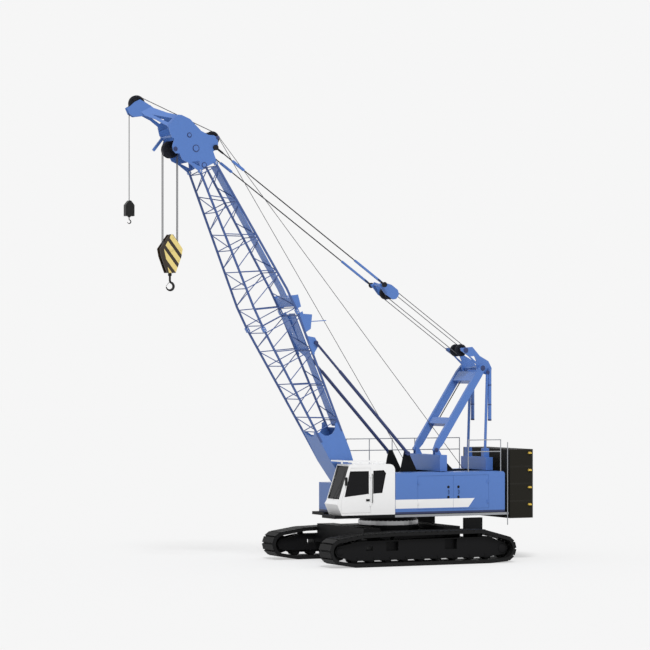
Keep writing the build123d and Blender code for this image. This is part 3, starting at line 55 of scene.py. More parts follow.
AXIS_X = (ring_low.x + ring_high.x) / 2

# Photograph's camera, measured from the slewing axis on the ground
CAMERA_TURN = radians(26.44)
CAMERA_DISTANCE = 94.85
CAMERA_HEIGHT = 6.465
CAMERA_FOCAL = 2883.1
IMAGE_SIDE = 650
AXIS_PIXEL = 388.0
HORIZON_PIXEL = 363.95
BACKDROP = 0.922

# Boom, as in the part's source: the foot's pin, and places along it with half width and half depth
BOOM = radians(63.35)
FOOT = Vector((1.217, 0, 1.97))
ALONG = Vector((cos(BOOM), 0, sin(BOOM)))
RISE = Vector((-sin(BOOM), 0, cos(BOOM)))
AHEAD = Vector((1, 0, 0))
LEFT = Vector((0, 1, 0))
UP = Vector((0, 0, 1))
BOOM_FORM = [(2.4, 0.5, 0.4), (6.59, 0.655, 0.655), (7.4, 0.655, 0.655), (12.05, 0.45, 0.3)]
LATTICE_START, JOINT_AT, PARALLEL_TO, LATTICE_END = (row[0] for row in BOOM_FORM)
COUPLING_LENGTH = 0.07
CHORD_RADIUS = 0.0385
LACING_RADIUS = 0.016
LACING_GAP = 0.075
LACING_MARGIN = 0.06
FIRST_LACING = 2.78

# Ropes and sheaves; a pitch is the radius at which the rope's middle runs
ROPE_RADIUS = 0.013
GANTRY_TOP = Vector((-2.61, 0, 6.92))
FALL_LENGTH = 3.22
BRIDLE_DISTANCE = 3.67
LUFF_PITCH = 0.18
LUFF_SPREAD = 0.18
STAY_SIDE = 0.4903
MAIN_PITCH = 0.25
BLOCK_SPREAD = 0.045
BLOCK_AXLE_Z = 10.11
BLOCK_BOTTOM = 9.35
NOSE_PITCH = 0.25
GUIDE_PITCH = 0.21
AUX_TOP = 11.61


def boom(along, rise, side=0.0):
    return FOOT + ALONG * along + RISE * rise + LEFT * side


MAIN_AXLE = boom(13.005, -0.754)
GUIDE_AXLE = boom(12.716, 0.725)
NOSE_AXLE = boom(14.77, -1.134)
STAY_PIN = boom(12.466, 0.51)
BLOCK_AXLE = Vector((MAIN_AXLE.x, 0, BLOCK_AXLE_Z))
AUX_X = NOSE_AXLE.x + NOSE_PITCH
LUFF_RUN = (STAY_PIN - GANTRY_TOP).normalized()
LUFF_UP = Vector((-LUFF_RUN.z, 0, LUFF_RUN.x))
BRIDLE_PIN = GANTRY_TOP + LUFF_RUN * BRIDLE_DISTANCE
BRIDLE_AXLE = GANTRY_TOP + LUFF_RUN * FALL_LENGTH


# Materials
def set_inputs(node, values):
    for key, value in values.items():
        node.inputs[key].default_value = value


class Tree:
    """The nodes of one material or of the world, and the links between them."""

    def __init__(self, node_tree):
        self.nodes, self.links = node_tree.nodes, node_tree.links
        self.shader = self.nodes.get("Principled BSDF")

    def new(self, kind):
        return self.nodes.new("ShaderNode" + kind)

    def link(self, source, target):
        self.links.new(source, target)

    def math(self, operation, first, second=0.0):
        """A Math node; each operand is a socket or a number."""
        node = self.new("Math")
        node.operation = operation
        for socket, value in zip(node.inputs, (first, second)):
            if isinstance(value, (int, float)):
                socket.default_value = value
            else:
                self.link(value, socket)
        return node.outputs[0]

    def between(self, value, low, high):
        above, below = self.math("GREATER_THAN", value, low), self.math("LESS_THAN", value, high)
        return self.math("MULTIPLY", above, below)

    def blend(self, mask, below, above):
        """Colour below where the mask is 0 and above where it is 1; each is a socket or a colour."""
        mix = self.new("Mix")
        mix.data_type = "RGBA"
        self.link(mask, mix.inputs["Factor"])
        for key, value in (("A", below), ("B", above)):
            if isinstance(value, tuple):
                mix.inputs[key].default_value = (*value, 1)
            else:
                self.link(value, mix.inputs[key])
        return mix.outputs["Result"]

    def colour(self, tint):
        self.link(tint, self.shader.inputs["Base Color"])

    def noise(self, place, scale, detail):
        node = self.new("TexNoise")
        set_inputs(node, {"Scale": scale, "Detail": detail})
        self.link(place, node.inputs["Vector"])
        return node.outputs["Fac"]

    def bump(self, height, strength, distance):
        """Lets a pattern stand out of the surface."""
        node = self.new("Bump")
        set_inputs(node, {"Strength": strength, "Distance": distance})
        self.link(height, node.inputs["Height"])
        self.link(node.outputs["Normal"], self.shader.inputs["Normal"])

    def seen_straight(self):
        """1 for rays from the camera, in a mirror or through glass."""
        path = self.new("LightPath").outputs
        seen = self.math("MAXIMUM", path["Is Camera Ray"], path["Is Glossy Ray"])
        return self.math("MAXIMUM", seen, path["Is Transmission Ray"])


def new_material(name):
    made = bpy.data.materials.new(name)
    made.use_nodes = True
    return made, Tree(made.node_tree)


# What all painted and metal surfaces share
COAT_ROUGHNESS = 0.12
GRAIN_DETAIL = 5
STREAK_SCALE, STREAK_DETAIL, STREAK_SHARE = 1.1, 3, 0.5
PALE_LIFT = 0.01
FADE, FADE_LIFT = 0.4, 0.02
ROUGHNESS_SPREAD, LEAST_ROUGHNESS = 0.07, 0.02
GRAIN_STRENGTH = 0.25


def surface(
    name, colour, roughness, metallic=0.0, wear=0.05, grain=9.0, bump=0.0015, gloss=0.5, coat=0.0, marks=None,
):
    """Paint or metal whose colour, roughness and height vary a little, with marks painted over it."""
    made, tree = new_material(name)
    set_inputs(tree.shader, {
        "Metallic": metallic, "Specular IOR Level": gloss,
        "Coat Weight": coat, "Coat Roughness": COAT_ROUGHNESS,
    })
    place = tree.new("TexCoord").outputs["Object"]
    speck = tree.noise(place, grain, GRAIN_DETAIL)
    streaks = tree.noise(place, STREAK_SCALE, STREAK_DETAIL)
    dark = tuple(c * (1 - wear) for c in colour)
    pale = tuple(min(1, c * (1 + wear) + wear * PALE_LIFT) for c in colour)
    faded = tuple(c * (1 - FADE * wear) + FADE_LIFT * wear for c in colour)
    tint = tree.blend(speck, dark, pale)
    patch = tree.math("MULTIPLY", streaks, STREAK_SHARE)
    tint = tree.blend(patch, tint, faded)
    if marks:
        axes = tree.new("SeparateXYZ")
        tree.link(place, axes.inputs[0])
        tint = marks(tree, axes.outputs, tint)
    tree.colour(tint)
    spread = tree.new("MapRange")
    least = max(LEAST_ROUGHNESS, roughness - ROUGHNESS_SPREAD)
    set_inputs(spread, {"To Min": least, "To Max": min(1, roughness + ROUGHNESS_SPREAD)})
    tree.link(speck, spread.inputs["Value"])
    tree.link(spread.outputs["Result"], tree.shader.inputs["Roughness"])
    tree.bump(speck, GRAIN_STRENGTH, bump)
    return made


# Housings: a white stripe with a slanted rear end on the outer walls, a navy skirt above the deck
WHITE_COLOUR = (0.80, 0.80, 0.80)
NAVY_COLOUR = (0.012, 0.022, 0.085)
STRIPE_LOW, STRIPE_HIGH = 1.78, 2.07
STRIPE_REAR_LOW, STRIPE_REAR_HIGH = -2.17, -2.40
STRIPE_SIDE = 1.548
SKIRT_TOP = 1.668


def housing_marks(tree, axis, tint):
    x, y, z = axis
    slope = (STRIPE_REAR_HIGH - STRIPE_REAR_LOW) / (STRIPE_HIGH - STRIPE_LOW)
    lean = tree.math("MULTIPLY", tree.math("SUBTRACT", z, STRIPE_LOW), slope)
    edge = tree.math("ADD", lean, AXIS_X + STRIPE_REAR_LOW)
    ahead = tree.math("GREATER_THAN", x, edge)
    outside = tree.math("GREATER_THAN", tree.math("ABSOLUTE", y), STRIPE_SIDE)
    stripe = tree.math("MULTIPLY", tree.between(z, STRIPE_LOW, STRIPE_HIGH), ahead)
    stripe = tree.math("MULTIPLY", stripe, outside)
    tint = tree.blend(stripe, tint, WHITE_COLOUR)
    skirt = tree.math("LESS_THAN", z, SKIRT_TOP)
    return tree.blend(skirt, tint, NAVY_COLOUR)


# Hook block: diagonal bands across the cheeks, dark inside them and along the front edge, which
# falls back above and below the axle
BAND_TURN = radians(52)
BAND_PITCH, BAND_SHARE = 0.255, 0.42
BAND_COLOUR = (0.022, 0.013, 0.006)
CHEEK_INSIDE = 0.1235
EDGE_AHEAD, EDGE_SLOPE_ABOVE, EDGE_SLOPE_BELOW = 0.25, 0.53, -0.22


def block_marks(tree, axis, tint):
    x, y, z = axis
    across = tree.math("MULTIPLY", x, -sin(BAND_TURN))
    up = tree.math("MULTIPLY", z, cos(BAND_TURN))
    run = tree.math("ADD", across, up)
    phase = tree.math("MODULO", tree.math("MULTIPLY", run, 1 / BAND_PITCH), 1.0)
    phase = tree.math("MODULO", tree.math("ADD", phase, 1.0), 1.0)
    band = tree.math("LESS_THAN", phase, BAND_SHARE)
    inside = tree.math("LESS_THAN", tree.math("ABSOLUTE", y), CHEEK_INSIDE)
    rise = tree.math("SUBTRACT", z, BLOCK_AXLE_Z)
    above = tree.math("MULTIPLY", tree.math("MAXIMUM", rise), EDGE_SLOPE_ABOVE)
    below = tree.math("MULTIPLY", tree.math("MINIMUM", rise), EDGE_SLOPE_BELOW)
    edge = tree.math("ADD", tree.math("ADD", above, below), x)
    front = tree.math("GREATER_THAN", edge, AXIS_X + MAIN_AXLE.x + EDGE_AHEAD)
    dark = tree.math("MAXIMUM", tree.math("MAXIMUM", band, inside), front)
    return tree.blend(dark, tint, BAND_COLOUR)


# Counterweight: paler edges, partly wear and partly painted highlight, and painted shade in the seam between
# its slabs; yellow ends of the lifting lugs
SLAB_FOOT, SLAB_HEIGHT = 1.38, 0.567
SLAB_SIDE = 1.6465
EDGE_WIDTH, EDGE_WEAR_AND_HIGHLIGHT = 0.032, (0.034, 0.032, 0.026)
SEAM_LOW, SEAM_HIGH, SEAM_SHADE_COLOUR = 0.009, 0.023, (0.001, 0.001, 0.001)
LUG_COLOUR = (0.60, 0.42, 0.07)


def weight_marks(tree, axis, tint):
    outside = tree.math("GREATER_THAN", tree.math("ABSOLUTE", axis[1]), SLAB_SIDE)
    level = tree.math("SUBTRACT", axis[2], SLAB_FOOT - SLAB_HEIGHT)
    phase = tree.math("MODULO", tree.math("ADD", level, EDGE_WIDTH / 2), SLAB_HEIGHT)
    edge = tree.math("LESS_THAN", phase, EDGE_WIDTH)
    seam_shade = tree.between(phase, SEAM_LOW, SEAM_HIGH)
    # Pale bands on the slab edges are wear with a painted highlight; the dark line in each seam is painted
    # shade
    tint = tree.blend(edge, tint, EDGE_WEAR_AND_HIGHLIGHT)
    tint = tree.blend(seam_shade, tint, SEAM_SHADE_COLOUR)
    return tree.blend(outside, tint, LUG_COLOUR)


BLUE_COLOUR = (0.067, 0.163, 0.455)
BLUE = surface("blue_paint", BLUE_COLOUR, 0.42, coat=0.15)
# The boom's blue, darkened for the thin chords and lacing: painted shade standing in for the shading of thin
# round tubes
LATTICE_SHADED_BLUE = surface("lattice_painted_shade", (0.040, 0.085, 0.255), 0.45)
HOUSING = surface("housing_paint", BLUE_COLOUR, 0.42, coat=0.15, marks=housing_marks)
NAVY = surface("navy_paint", (0.016, 0.03, 0.115), 0.45)
WHITE = surface("white_paint", WHITE_COLOUR, 0.32, wear=0.02, coat=0.2)
BLACK = surface("black_paint", (0.0055, 0.0055, 0.006), 0.5, gloss=0.1)
IRON = surface("track_iron", (0.0055, 0.0055, 0.0058), 0.58, wear=0.3, grain=22, bump=0.004, gloss=0.12)
BALLAST = surface("dark_iron", (0.0115, 0.0105, 0.0075), 0.6, gloss=0.12, bump=0.003, marks=weight_marks)
STEEL = surface("bright_steel", (0.55, 0.55, 0.56), 0.33, metallic=0.85)
RAIL = surface("rail_grey", (0.30, 0.31, 0.33), 0.45)
SHEAVE = surface("sheave_iron", (0.008, 0.009, 0.014), 0.5, gloss=0.2)
YELLOW_PLAIN = surface("lug_yellow", LUG_COLOUR, 0.4)
YELLOW = surface("yellow_paint", (0.70, 0.56, 0.20), 0.4, marks=block_marks)
FORGED = surface("hook_steel", (0.007, 0.007, 0.007), 0.42, gloss=0.25)
PLASTIC = surface("cab_plastic", (0.03, 0.03, 0.033), 0.7)
RUBBER = surface("seal_rubber", (0.008, 0.008, 0.008), 0.75, gloss=0.2)
MIRROR = surface("mirror_glass", (0.6, 0.62, 0.64), 0.05, metallic=1.0, wear=0.0, bump=0.0)


def rope_material():
    """Steel wire laid in strands: slanted ridges drawn by a wave texture."""
    made, tree = new_material("rope_steel")
    set_inputs(tree.shader, {"Metallic": 0.5, "Roughness": 0.5})
    wave = tree.new("TexWave")
    wave.bands_direction = "DIAGONAL"
    set_inputs(wave, {"Scale": 14, "Distortion": 1.5})
    tree.link(tree.new("TexCoord").outputs["Object"], wave.inputs["Vector"])
    tint = tree.blend(wave.outputs["Fac"], (0.05, 0.05, 0.055), (0.17, 0.17, 0.18))
    tree.colour(tint)
    tree.bump(wave.outputs["Fac"], 0.5, 0.003)
    return made


def glass_material(name, colour, alpha):
    """Tinted pane: mostly its own dark colour, a little of what is behind, and a sharp reflection."""
    made, tree = new_material(name)
    set_inputs(tree.shader, {"Roughness": 0.04, "Specular IOR Level": 0.16, "Alpha": alpha})
    cloud = tree.new("TexNoise")
    cloud.inputs["Scale"].default_value = 2.5
    tint = tree.blend(cloud.outputs["Fac"], colour, tuple(c * 1.3 for c in colour))
    tree.colour(tint)
    return made


def fabric_material():
    """Woven seat cloth with a fine crossed thread and soft sheen."""
    made, tree = new_material("seat_fabric")
    set_inputs(tree.shader, {"Roughness": 0.9, "Sheen Weight": 0.3})
    place = tree.new("TexCoord").outputs["Object"]
    threads = []
    for direction in ("X", "Y"):
        wave = tree.new("TexWave")
        wave.bands_direction = direction
        wave.inputs["Scale"].default_value = 90
        tree.link(place, wave.inputs["Vector"])
        threads.append(wave.outputs["Fac"])
    weave = tree.math("MULTIPLY", *threads)
    tint = tree.blend(weave, (0.018, 0.018, 0.022), (0.045, 0.045, 0.052))
    tree.colour(tint)
    tree.bump(weave, 1.0, 0.002)
    return made


ROPE = rope_material()
GLASS = glass_material("window_glass", (0.004, 0.004, 0.005), 0.93)
FABRIC = fabric_material()

# Which nodes wear which material; nodes that a piece replaces need none
WORN = {
    HOUSING: ["left_housing", "right_housing", "service_door_front", "service_door_rear", "engine_door"],
    BLUE: [
        "boom_base", "boom_tip", "boom_head", "boom_walkway", "gantry_front_base", "gantry_rear_base",
        "gantry_legs", "gantry_rear_legs", "gantry_head", "bridle",
    ],
    NAVY: ["backstop_tubes", "backstop_rods"],
    WHITE: ["cab_shell", "cab_door", "cab_guard"],
    BLACK: [
        "carbody", "side_frame_left", "side_frame_right", "deck", "winch_guard", "engine", "hydraulic_tank",
        "idler_left", "idler_right", "sprocket_left", "sprocket_right",
    ],
    IRON: ["track_left", "track_right"],
    BALLAST: ["counterweight"],
    STEEL: ["slewing_ring"],
    YELLOW: ["main_block"],
    GLASS: ["cab_windows", "cab_door_window"],
    PLASTIC: ["consoles"],
}
for material, names in WORN.items():
    for name in names:
        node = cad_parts[name]
        node.data.materials.clear()
        node.data.materials.append(material)


# Shapes
UPPER = "superstructure"
LEAST_RADIUS = 0.0004
WASHER_SHARE, WASHER_HEIGHT, WASHER_SUNK = 1.25, 0.25, 0.2
BEVEL_FROM = radians(50)


class Form:
    """Points and faces of one piece, measured from the slewing axis, gathered before its mesh is made."""

    def __init__(self):
        self.points = []
        self.faces = []

    def add(self, points, faces):
        first = len(self.points)
        self.points += [Vector(point) for point in points]
        self.faces += [[first + i for i in face] for face in faces]

    def rings(self, rings, closed=False):
        """Skin over rings of equal size; open ends are capped."""
        count = len(rings[0])
        points = [point for ring in rings for point in ring]
        faces = []
        last = len(rings) if closed else len(rings) - 1
        for i in range(last):
            a, b = i * count, (i + 1) % len(rings) * count
            faces += [[a + j, a + (j + 1) % count, b + (j + 1) % count, b + j] for j in range(count)]
        if not closed:
            faces += [list(range(count))[::-1], [(len(rings) - 1) * count + j for j in range(count)]]
        self.add(points, faces)

    def path(self, points, radii, sides=10, closed=False):
        """A round bar along points, with one radius or one for each point."""
        points = [Vector(point) for point in points]
        if isinstance(radii, (int, float)):
            radii = [radii] * len(points)
        turns = [2 * pi * j / sides for j in range(sides)]
        rings = []
        across = None
        for i, point in enumerate(points):
            before = points[i - 1] if i or closed else point
            after = points[(i + 1) % len(points)] if i + 1 < len(points) or closed else point
            run = (after - before).normalized()
            if across is None:
                across = run.orthogonal().normalized()
            across = (across - run * across.dot(run)).normalized()
            other = run.cross(across)
            rings.append([point + (across * cos(t) + other * sin(t)) * radii[i] for t in turns])
        self.rings(rings, closed)

    def turned(self, centre, axis, profile, sides):
        """A turned form: profile holds radius and place along the axis, from one end round to the other."""
        centre, axis = Vector(centre), Vector(axis).normalized()
        across = axis.orthogonal().normalized()
        other = axis.cross(across)
        turns = [2 * pi * j / sides for j in range(sides)]
        spokes = [across * cos(t) + other * sin(t) for t in turns]
        self.rings([
            [centre + axis * along + spoke * max(radius, LEAST_RADIUS) for spoke in spokes]
            for radius, along in profile
        ])

    def disc(self, centre, axis, radius, low, high, sides):
        """A round plate or bar between two places along the axis."""
        self.turned(centre, axis, [(0, low), (radius, low), (radius, high), (0, high)], sides)

    def cap(self, centre, axis, radius, edge=0.012, height=0.02, slope=0.02, sides=28):
        """A round cover with an upright edge and a slope round its top."""
        profile = [(0, 0), (radius, 0), (radius, edge), (radius - slope, height), (0, height)]
        self.turned(centre, axis, profile, sides)

    def bolt(self, centre, axis, radius, height):
        """A six-sided bolt head on a round washer."""
        self.disc(centre, axis, radius * WASHER_SHARE, 0, height * WASHER_HEIGHT, 12)
        self.disc(centre, axis, radius, height * WASHER_SUNK, height, 6)

    def bolt_circle(self, centre, side, circle, count, radius, height, first=0):
        """Bolts round a centre on a wall that faces the left (side 1) or the right (side -1)."""
        for i in range(count):
            turn = radians(360 / count * i + first)
            out = Vector((cos(turn), 0, sin(turn))) * circle
            self.bolt(centre + out, LEFT * side, radius, height)

    def slab(self, outline, thickness):
        """A plate from a flat outline of points, pushed out by the vector thickness."""
        outline = [Vector(point) for point in outline]
        self.rings([outline, [point + Vector(thickness) for point in outline]])

    def box(self, low, high):
        (x0, y0, z0), (x1, y1, z1) = low, high
        self.slab([(x0, y0, z0), (x1, y0, z0), (x1, y1, z0), (x0, y1, z0)], (0, 0, z1 - z0))


def piece(name, form, material, body=None, bevel=0.0, replaces=(), stretch=None, creases=38):
    """Makes the mesh of a form and gives it its material; sets it on its body, or with stretch fixes it where
    it stands.
    """
    mesh = bpy.data.meshes.new(name)
    shift = Vector((AXIS_X, 0, 0))
    mesh.from_pydata([point + shift for point in form.points], [], form.faces)
    made = bpy.data.objects.new(name, mesh)
    bpy.context.scene.collection.objects.link(made)
    tidy = bmesh.new()
    tidy.from_mesh(mesh)
    bmesh.ops.recalc_face_normals(tidy, faces=tidy.faces)
    if bevel:
        sharp = [edge for edge in tidy.edges if edge.is_manifold and edge.calc_face_angle(0) > BEVEL_FROM]
        bmesh.ops.bevel(tidy, geom=sharp, offset=bevel, segments=2, affect="EDGES", clamp_overlap=True)
    tidy.to_mesh(mesh)
    tidy.free()
    mesh.materials.append(material)
    mesh.polygons.foreach_set("use_smooth", [True] * len(mesh.polygons))
    mesh.set_sharp_from_angle(angle=radians(creases))
    if stretch:
        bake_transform(made)
    else:
        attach(made, body)
    if replaces:
        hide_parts(*replaces)
    return made


def line(start, end, count):
    """Points along a straight run, ends included."""
    return [start + (end - start) * (i / count) for i in range(count + 1)]


def arc(centre, radius, first, last, count, across=None, up=None):
    """Points on an arc; angles in degrees from across towards up."""
    across, up = across or AHEAD, up or UP
    turns = [radians(first + (last - first) * i / count) for i in range(count + 1)]
    return [centre + across * (radius * cos(t)) + up * (radius * sin(t)) for t in turns]


# Round skins over the boom's chords and lacing, which are flat-sided bars in the solids
def chord(along, side, face):
    """Place on a chord: side 1 is the left pair, face 1 the upper pair."""
    for (a0, w0, d0), (a1, w1, d1) in zip(BOOM_FORM, BOOM_FORM[1:]):
        if along <= a1 or a1 == LATTICE_END:
            t = (along - a0) / (a1 - a0)
            return boom(along, face * (d0 + (d1 - d0) * t), side * (w0 + (w1 - w0) * t))


CORNERS = [(1, 1), (1, -1), (-1, 1), (-1, -1)]
FACES = [((1, 1), (-1, 1)), ((1, -1), (-1, -1)), ((1, 1), (1, -1)), ((-1, 1), (-1, -1))]
BASE_END = JOINT_AT - COUPLING_LENGTH
TIP_START = JOINT_AT + COUPLING_LENGTH
TIP_END = LATTICE_END - COUPLING_LENGTH


def boom_section(name, chords, start, end, panels):
    form = Form()
    for corner in CORNERS:
        form.path([chord(along, *corner) for along in chords], CHORD_RADIUS, 16)
    turns = 2 * panels
    stations = [start + (end - start) * i / turns for i in range(turns + 1)]
    for a, b in FACES:
        for i, (s0, s1) in enumerate(zip(stations, stations[1:])):
            near, far = (a, b) if i % 2 == 0 else (b, a)
            form.path([chord(s0 + LACING_GAP, *near), chord(s1 - LACING_GAP, *far)], LACING_RADIUS)
        for station in stations[::2]:
            form.path([chord(station, *a), chord(station, *b)], LACING_RADIUS)
    piece(name, form, LATTICE_SHADED_BLUE, "boom")


boom_section("boom_base_tubes", (LATTICE_START, BASE_END), FIRST_LACING, BASE_END - LACING_MARGIN, panels=3)
tip_chords = (TIP_START, PARALLEL_TO, TIP_END)
boom_section("boom_tip_tubes", tip_chords, TIP_START + LACING_MARGIN, TIP_END - LACING_MARGIN, panels=4)

# Pins of the couplings between the boom's sections
PIN_RADIUS, PIN_REACH, PIN_SHIFT = 0.02, 0.062, 0.035
pins = Form()
for at in (JOINT_AT, LATTICE_END):
    for side, face in CORNERS:
        for place in (at - PIN_SHIFT, at + PIN_SHIFT):
            pins.disc(chord(min(place, LATTICE_END), side, face), LEFT, PIN_RADIUS, -PIN_REACH, PIN_REACH, 14)
piece("coupling_pins", pins, STEEL, "boom")

# Wheels with a rope groove, a web and ribs
WHEEL_HALF, LIP, GROOVE_HALF, WEB_HALF = 0.0353, 0.006, 0.009, 0.011
RIM_SHARE, GROOVE_ROOM, RIM_WALL = 0.985, 0.0015, 0.028
RIBS, FIRST_RIB, RIB_HALF, RIB_REACH, RIB_SUNK = 6, 15, 0.008, 0.028, 0.004


def wheel_set(name, centre, places, pitch, axle, reach):
    """Wheels side by side on one axle, whose radius is axle and whose half length is reach."""
    form = Form()
    rim, floor = (pitch + 2 * ROPE_RADIUS) * RIM_SHARE, pitch - ROPE_RADIUS - GROOVE_ROOM
    inner, hub = floor - RIM_WALL, axle + RIM_WALL
    left_half = [
        (floor, GROOVE_HALF), (rim, WHEEL_HALF - LIP), (rim, WHEEL_HALF), (inner, WHEEL_HALF),
        (inner, WEB_HALF), (hub, WEB_HALF), (hub, WHEEL_HALF), (axle, WHEEL_HALF),
    ]
    profile = [(radius, -along) for radius, along in left_half[::-1]] + left_half
    low = LEFT * -RIB_REACH
    for y in places:
        middle = centre + LEFT * y
        form.turned(middle, LEFT, profile, 48)
        for i in range(RIBS):
            out = Matrix.Rotation(radians(360 / RIBS * i + FIRST_RIB), 3, LEFT) @ AHEAD
            cross = out.cross(LEFT) * RIB_HALF
            start, end = middle + out * (hub - RIB_SUNK), middle + out * (inner + RIB_SUNK)
            outline = [start - cross + low, end - cross + low, end + cross + low, start + cross + low]
            form.slab(outline, LEFT * (2 * RIB_REACH))
    form.disc(centre, LEFT, axle, -reach, reach, 24)
    piece(f"{name}_round", form, SHEAVE, name, replaces=(name,))


PAIR = (-BLOCK_SPREAD, BLOCK_SPREAD)
LUFF_LINES = (-LUFF_SPREAD, LUFF_SPREAD)
# Name, middle of the axle, places of the wheels across, pitch, axle radius, axle half length
WHEELS = (
    ("gantry_sheaves", GANTRY_TOP, LUFF_LINES, LUFF_PITCH, 0.05, 0.4997),
    ("bridle_sheaves", BRIDLE_AXLE, LUFF_LINES, LUFF_PITCH, 0.045, 0.2597),
    ("main_sheaves", MAIN_AXLE, PAIR, MAIN_PITCH, 0.05, 0.4347),
    ("guide_sheaves", GUIDE_AXLE, (0,), GUIDE_PITCH, 0.04, 0.4347),
    ("nose_sheave", NOSE_AXLE, (0,), NOSE_PITCH, 0.035, 0.0697),
    ("block_sheaves", BLOCK_AXLE, PAIR, MAIN_PITCH, 0.045, 0.0947),
)
for row in WHEELS:
    wheel_set(*row)

# Ropes: taut runs between two bodies are fixed where they stand, wraps ride their wheels and run a little
# past the runs' ends
RUN_STEPS, WRAP_STEPS, PAST = 24, 16, 2
luffing = Form()
head_wrap = Form()
bridle_wrap = Form()
for y in LUFF_LINES:
    for up in (1, -1):
        start = GANTRY_TOP + LUFF_UP * (up * LUFF_PITCH) + LEFT * y
        luffing.path(line(start, start + LUFF_RUN * FALL_LENGTH, RUN_STEPS), ROPE_RADIUS)
    wrap = arc(GANTRY_TOP + LEFT * y, LUFF_PITCH, 90 - PAST, 270 + PAST, WRAP_STEPS, LUFF_RUN, LUFF_UP)
    head_wrap.path(wrap, ROPE_RADIUS)
    wrap = arc(BRIDLE_AXLE + LEFT * y, LUFF_PITCH, -90 - PAST, 90 + PAST, WRAP_STEPS, LUFF_RUN, LUFF_UP)
    bridle_wrap.path(wrap, ROPE_RADIUS)
piece("luffing_ropes", luffing, ROPE, replaces=("luffing_falls",),
      stretch=("luffing_falls", "bridle", GANTRY_TOP, BRIDLE_AXLE))
piece("luffing_wraps_gantry", head_wrap, ROPE, "luffing_falls")
piece("luffing_wraps_bridle", bridle_wrap, ROPE, "bridle")

hoist = Form()
upper_wrap = Form()
lower_wrap = Form()
for y in PAIR:
    for x in (-MAIN_PITCH, MAIN_PITCH):
        aside = Vector((x, y, 0))
        hoist.path(line(MAIN_AXLE + aside, BLOCK_AXLE + aside, RUN_STEPS), ROPE_RADIUS)
    upper_wrap.path(arc(MAIN_AXLE + LEFT * y, MAIN_PITCH, -PAST, 180 + PAST, WRAP_STEPS), ROPE_RADIUS)
    lower_wrap.path(arc(BLOCK_AXLE + LEFT * y, MAIN_PITCH, 180 - PAST, 360 + PAST, WRAP_STEPS), ROPE_RADIUS)
piece("main_fall_ropes", hoist, ROPE, replaces=("main_falls",),
      stretch=("main_falls", "main_block", MAIN_AXLE, BLOCK_AXLE))
piece("main_wraps_head", upper_wrap, ROPE, "main_falls")
piece("main_wraps_block", lower_wrap, ROPE, "main_block")

NOSE_DROP = Vector((AUX_X, 0, NOSE_AXLE.z))
AUX_EYE = Vector((AUX_X, 0, AUX_TOP))
END_SINK = UP * 0.02
aux_line = Form()
aux_line.path(line(NOSE_DROP, AUX_EYE - END_SINK, 20), ROPE_RADIUS)
piece("aux_line", aux_line, ROPE, replaces=("aux_rope",),
      stretch=("aux_falls", "aux_hook", NOSE_DROP - END_SINK, AUX_EYE))
aux_wrap = Form()
aux_wrap.path(arc(NOSE_AXLE, NOSE_PITCH, -PAST, 80, 41), ROPE_RADIUS)
piece("aux_wrap", aux_wrap, ROPE, "aux_falls", replaces=("aux_falls",))


# Lines from the winches over the guide sheave, and from there to the main sheaves and the nose
def tangent(first, radius_a, second, radius_b):
    """Ends of the straight run over the tops of two wheels, and the way it faces, with X to the right."""
    gap = second - first
    run = gap.normalized()
    up = Vector((-run.z, 0, run.x))
    lean = (radius_a - radius_b) / gap.length
    normal = run * lean + up * sqrt(1 - lean * lean)
    return first + normal * radius_a, second + normal * radius_b, normal


MAIN_DRUM = Vector((-0.82, 0, 2.48))
AUX_DRUM = Vector((-1.83, 0, 2.48))
LUFF_DRUM = Vector((-2.78, 0, 2.48))
BARREL = 0.27
THIN_ROPE = 0.8
# Name, drum, places across at drum and sheave, and where above the drum its stretch starts and ends
WINCH_LINES = (
    ("main_winch_line", MAIN_DRUM, -0.1, 0.0, 0.45, 2.4),
    ("rear_winch_line", LUFF_DRUM, 0.12, 0.03, 1.9, 4.4),
)
for name, drum, y_drum, y_head, give_from, give_to in WINCH_LINES:
    start, end, _ = tangent(drum, BARREL + ROPE_RADIUS, GUIDE_AXLE, GUIDE_PITCH)
    start, end = start + LEFT * y_drum, end + LEFT * y_head
    run = (end - start).normalized()
    lines = Form()
    lines.path(line(start, end, 90), ROPE_RADIUS * THIN_ROPE, 8)
    piece(name, lines, ROPE, stretch=(UPPER, "boom", start + run * give_from, start + run * give_to))

# The rope that lies on the nose sheave is thinner than aux_wrap and runs inside it
NESTED = 0.92
NOSE_LIES_TO, GUIDE_LIES_FROM = 58, 152
over = Form()
first, last, normal = tangent(GUIDE_AXLE, GUIDE_PITCH, NOSE_AXLE, NOSE_PITCH)
over.path([first, last], ROPE_RADIUS)
leaves = degrees(atan2(normal.z, normal.x))
over.path(arc(NOSE_AXLE, NOSE_PITCH, leaves, NOSE_LIES_TO, 29), ROPE_RADIUS * NESTED)
over.path(arc(GUIDE_AXLE, GUIDE_PITCH, leaves, GUIDE_LIES_FROM, 6), ROPE_RADIUS)
first, last, _ = tangent(GUIDE_AXLE, GUIDE_PITCH, MAIN_AXLE, MAIN_PITCH)
for y in PAIR:
    over.path([first, last + LEFT * y], ROPE_RADIUS)
piece("head_lines", over, ROPE, "boom")

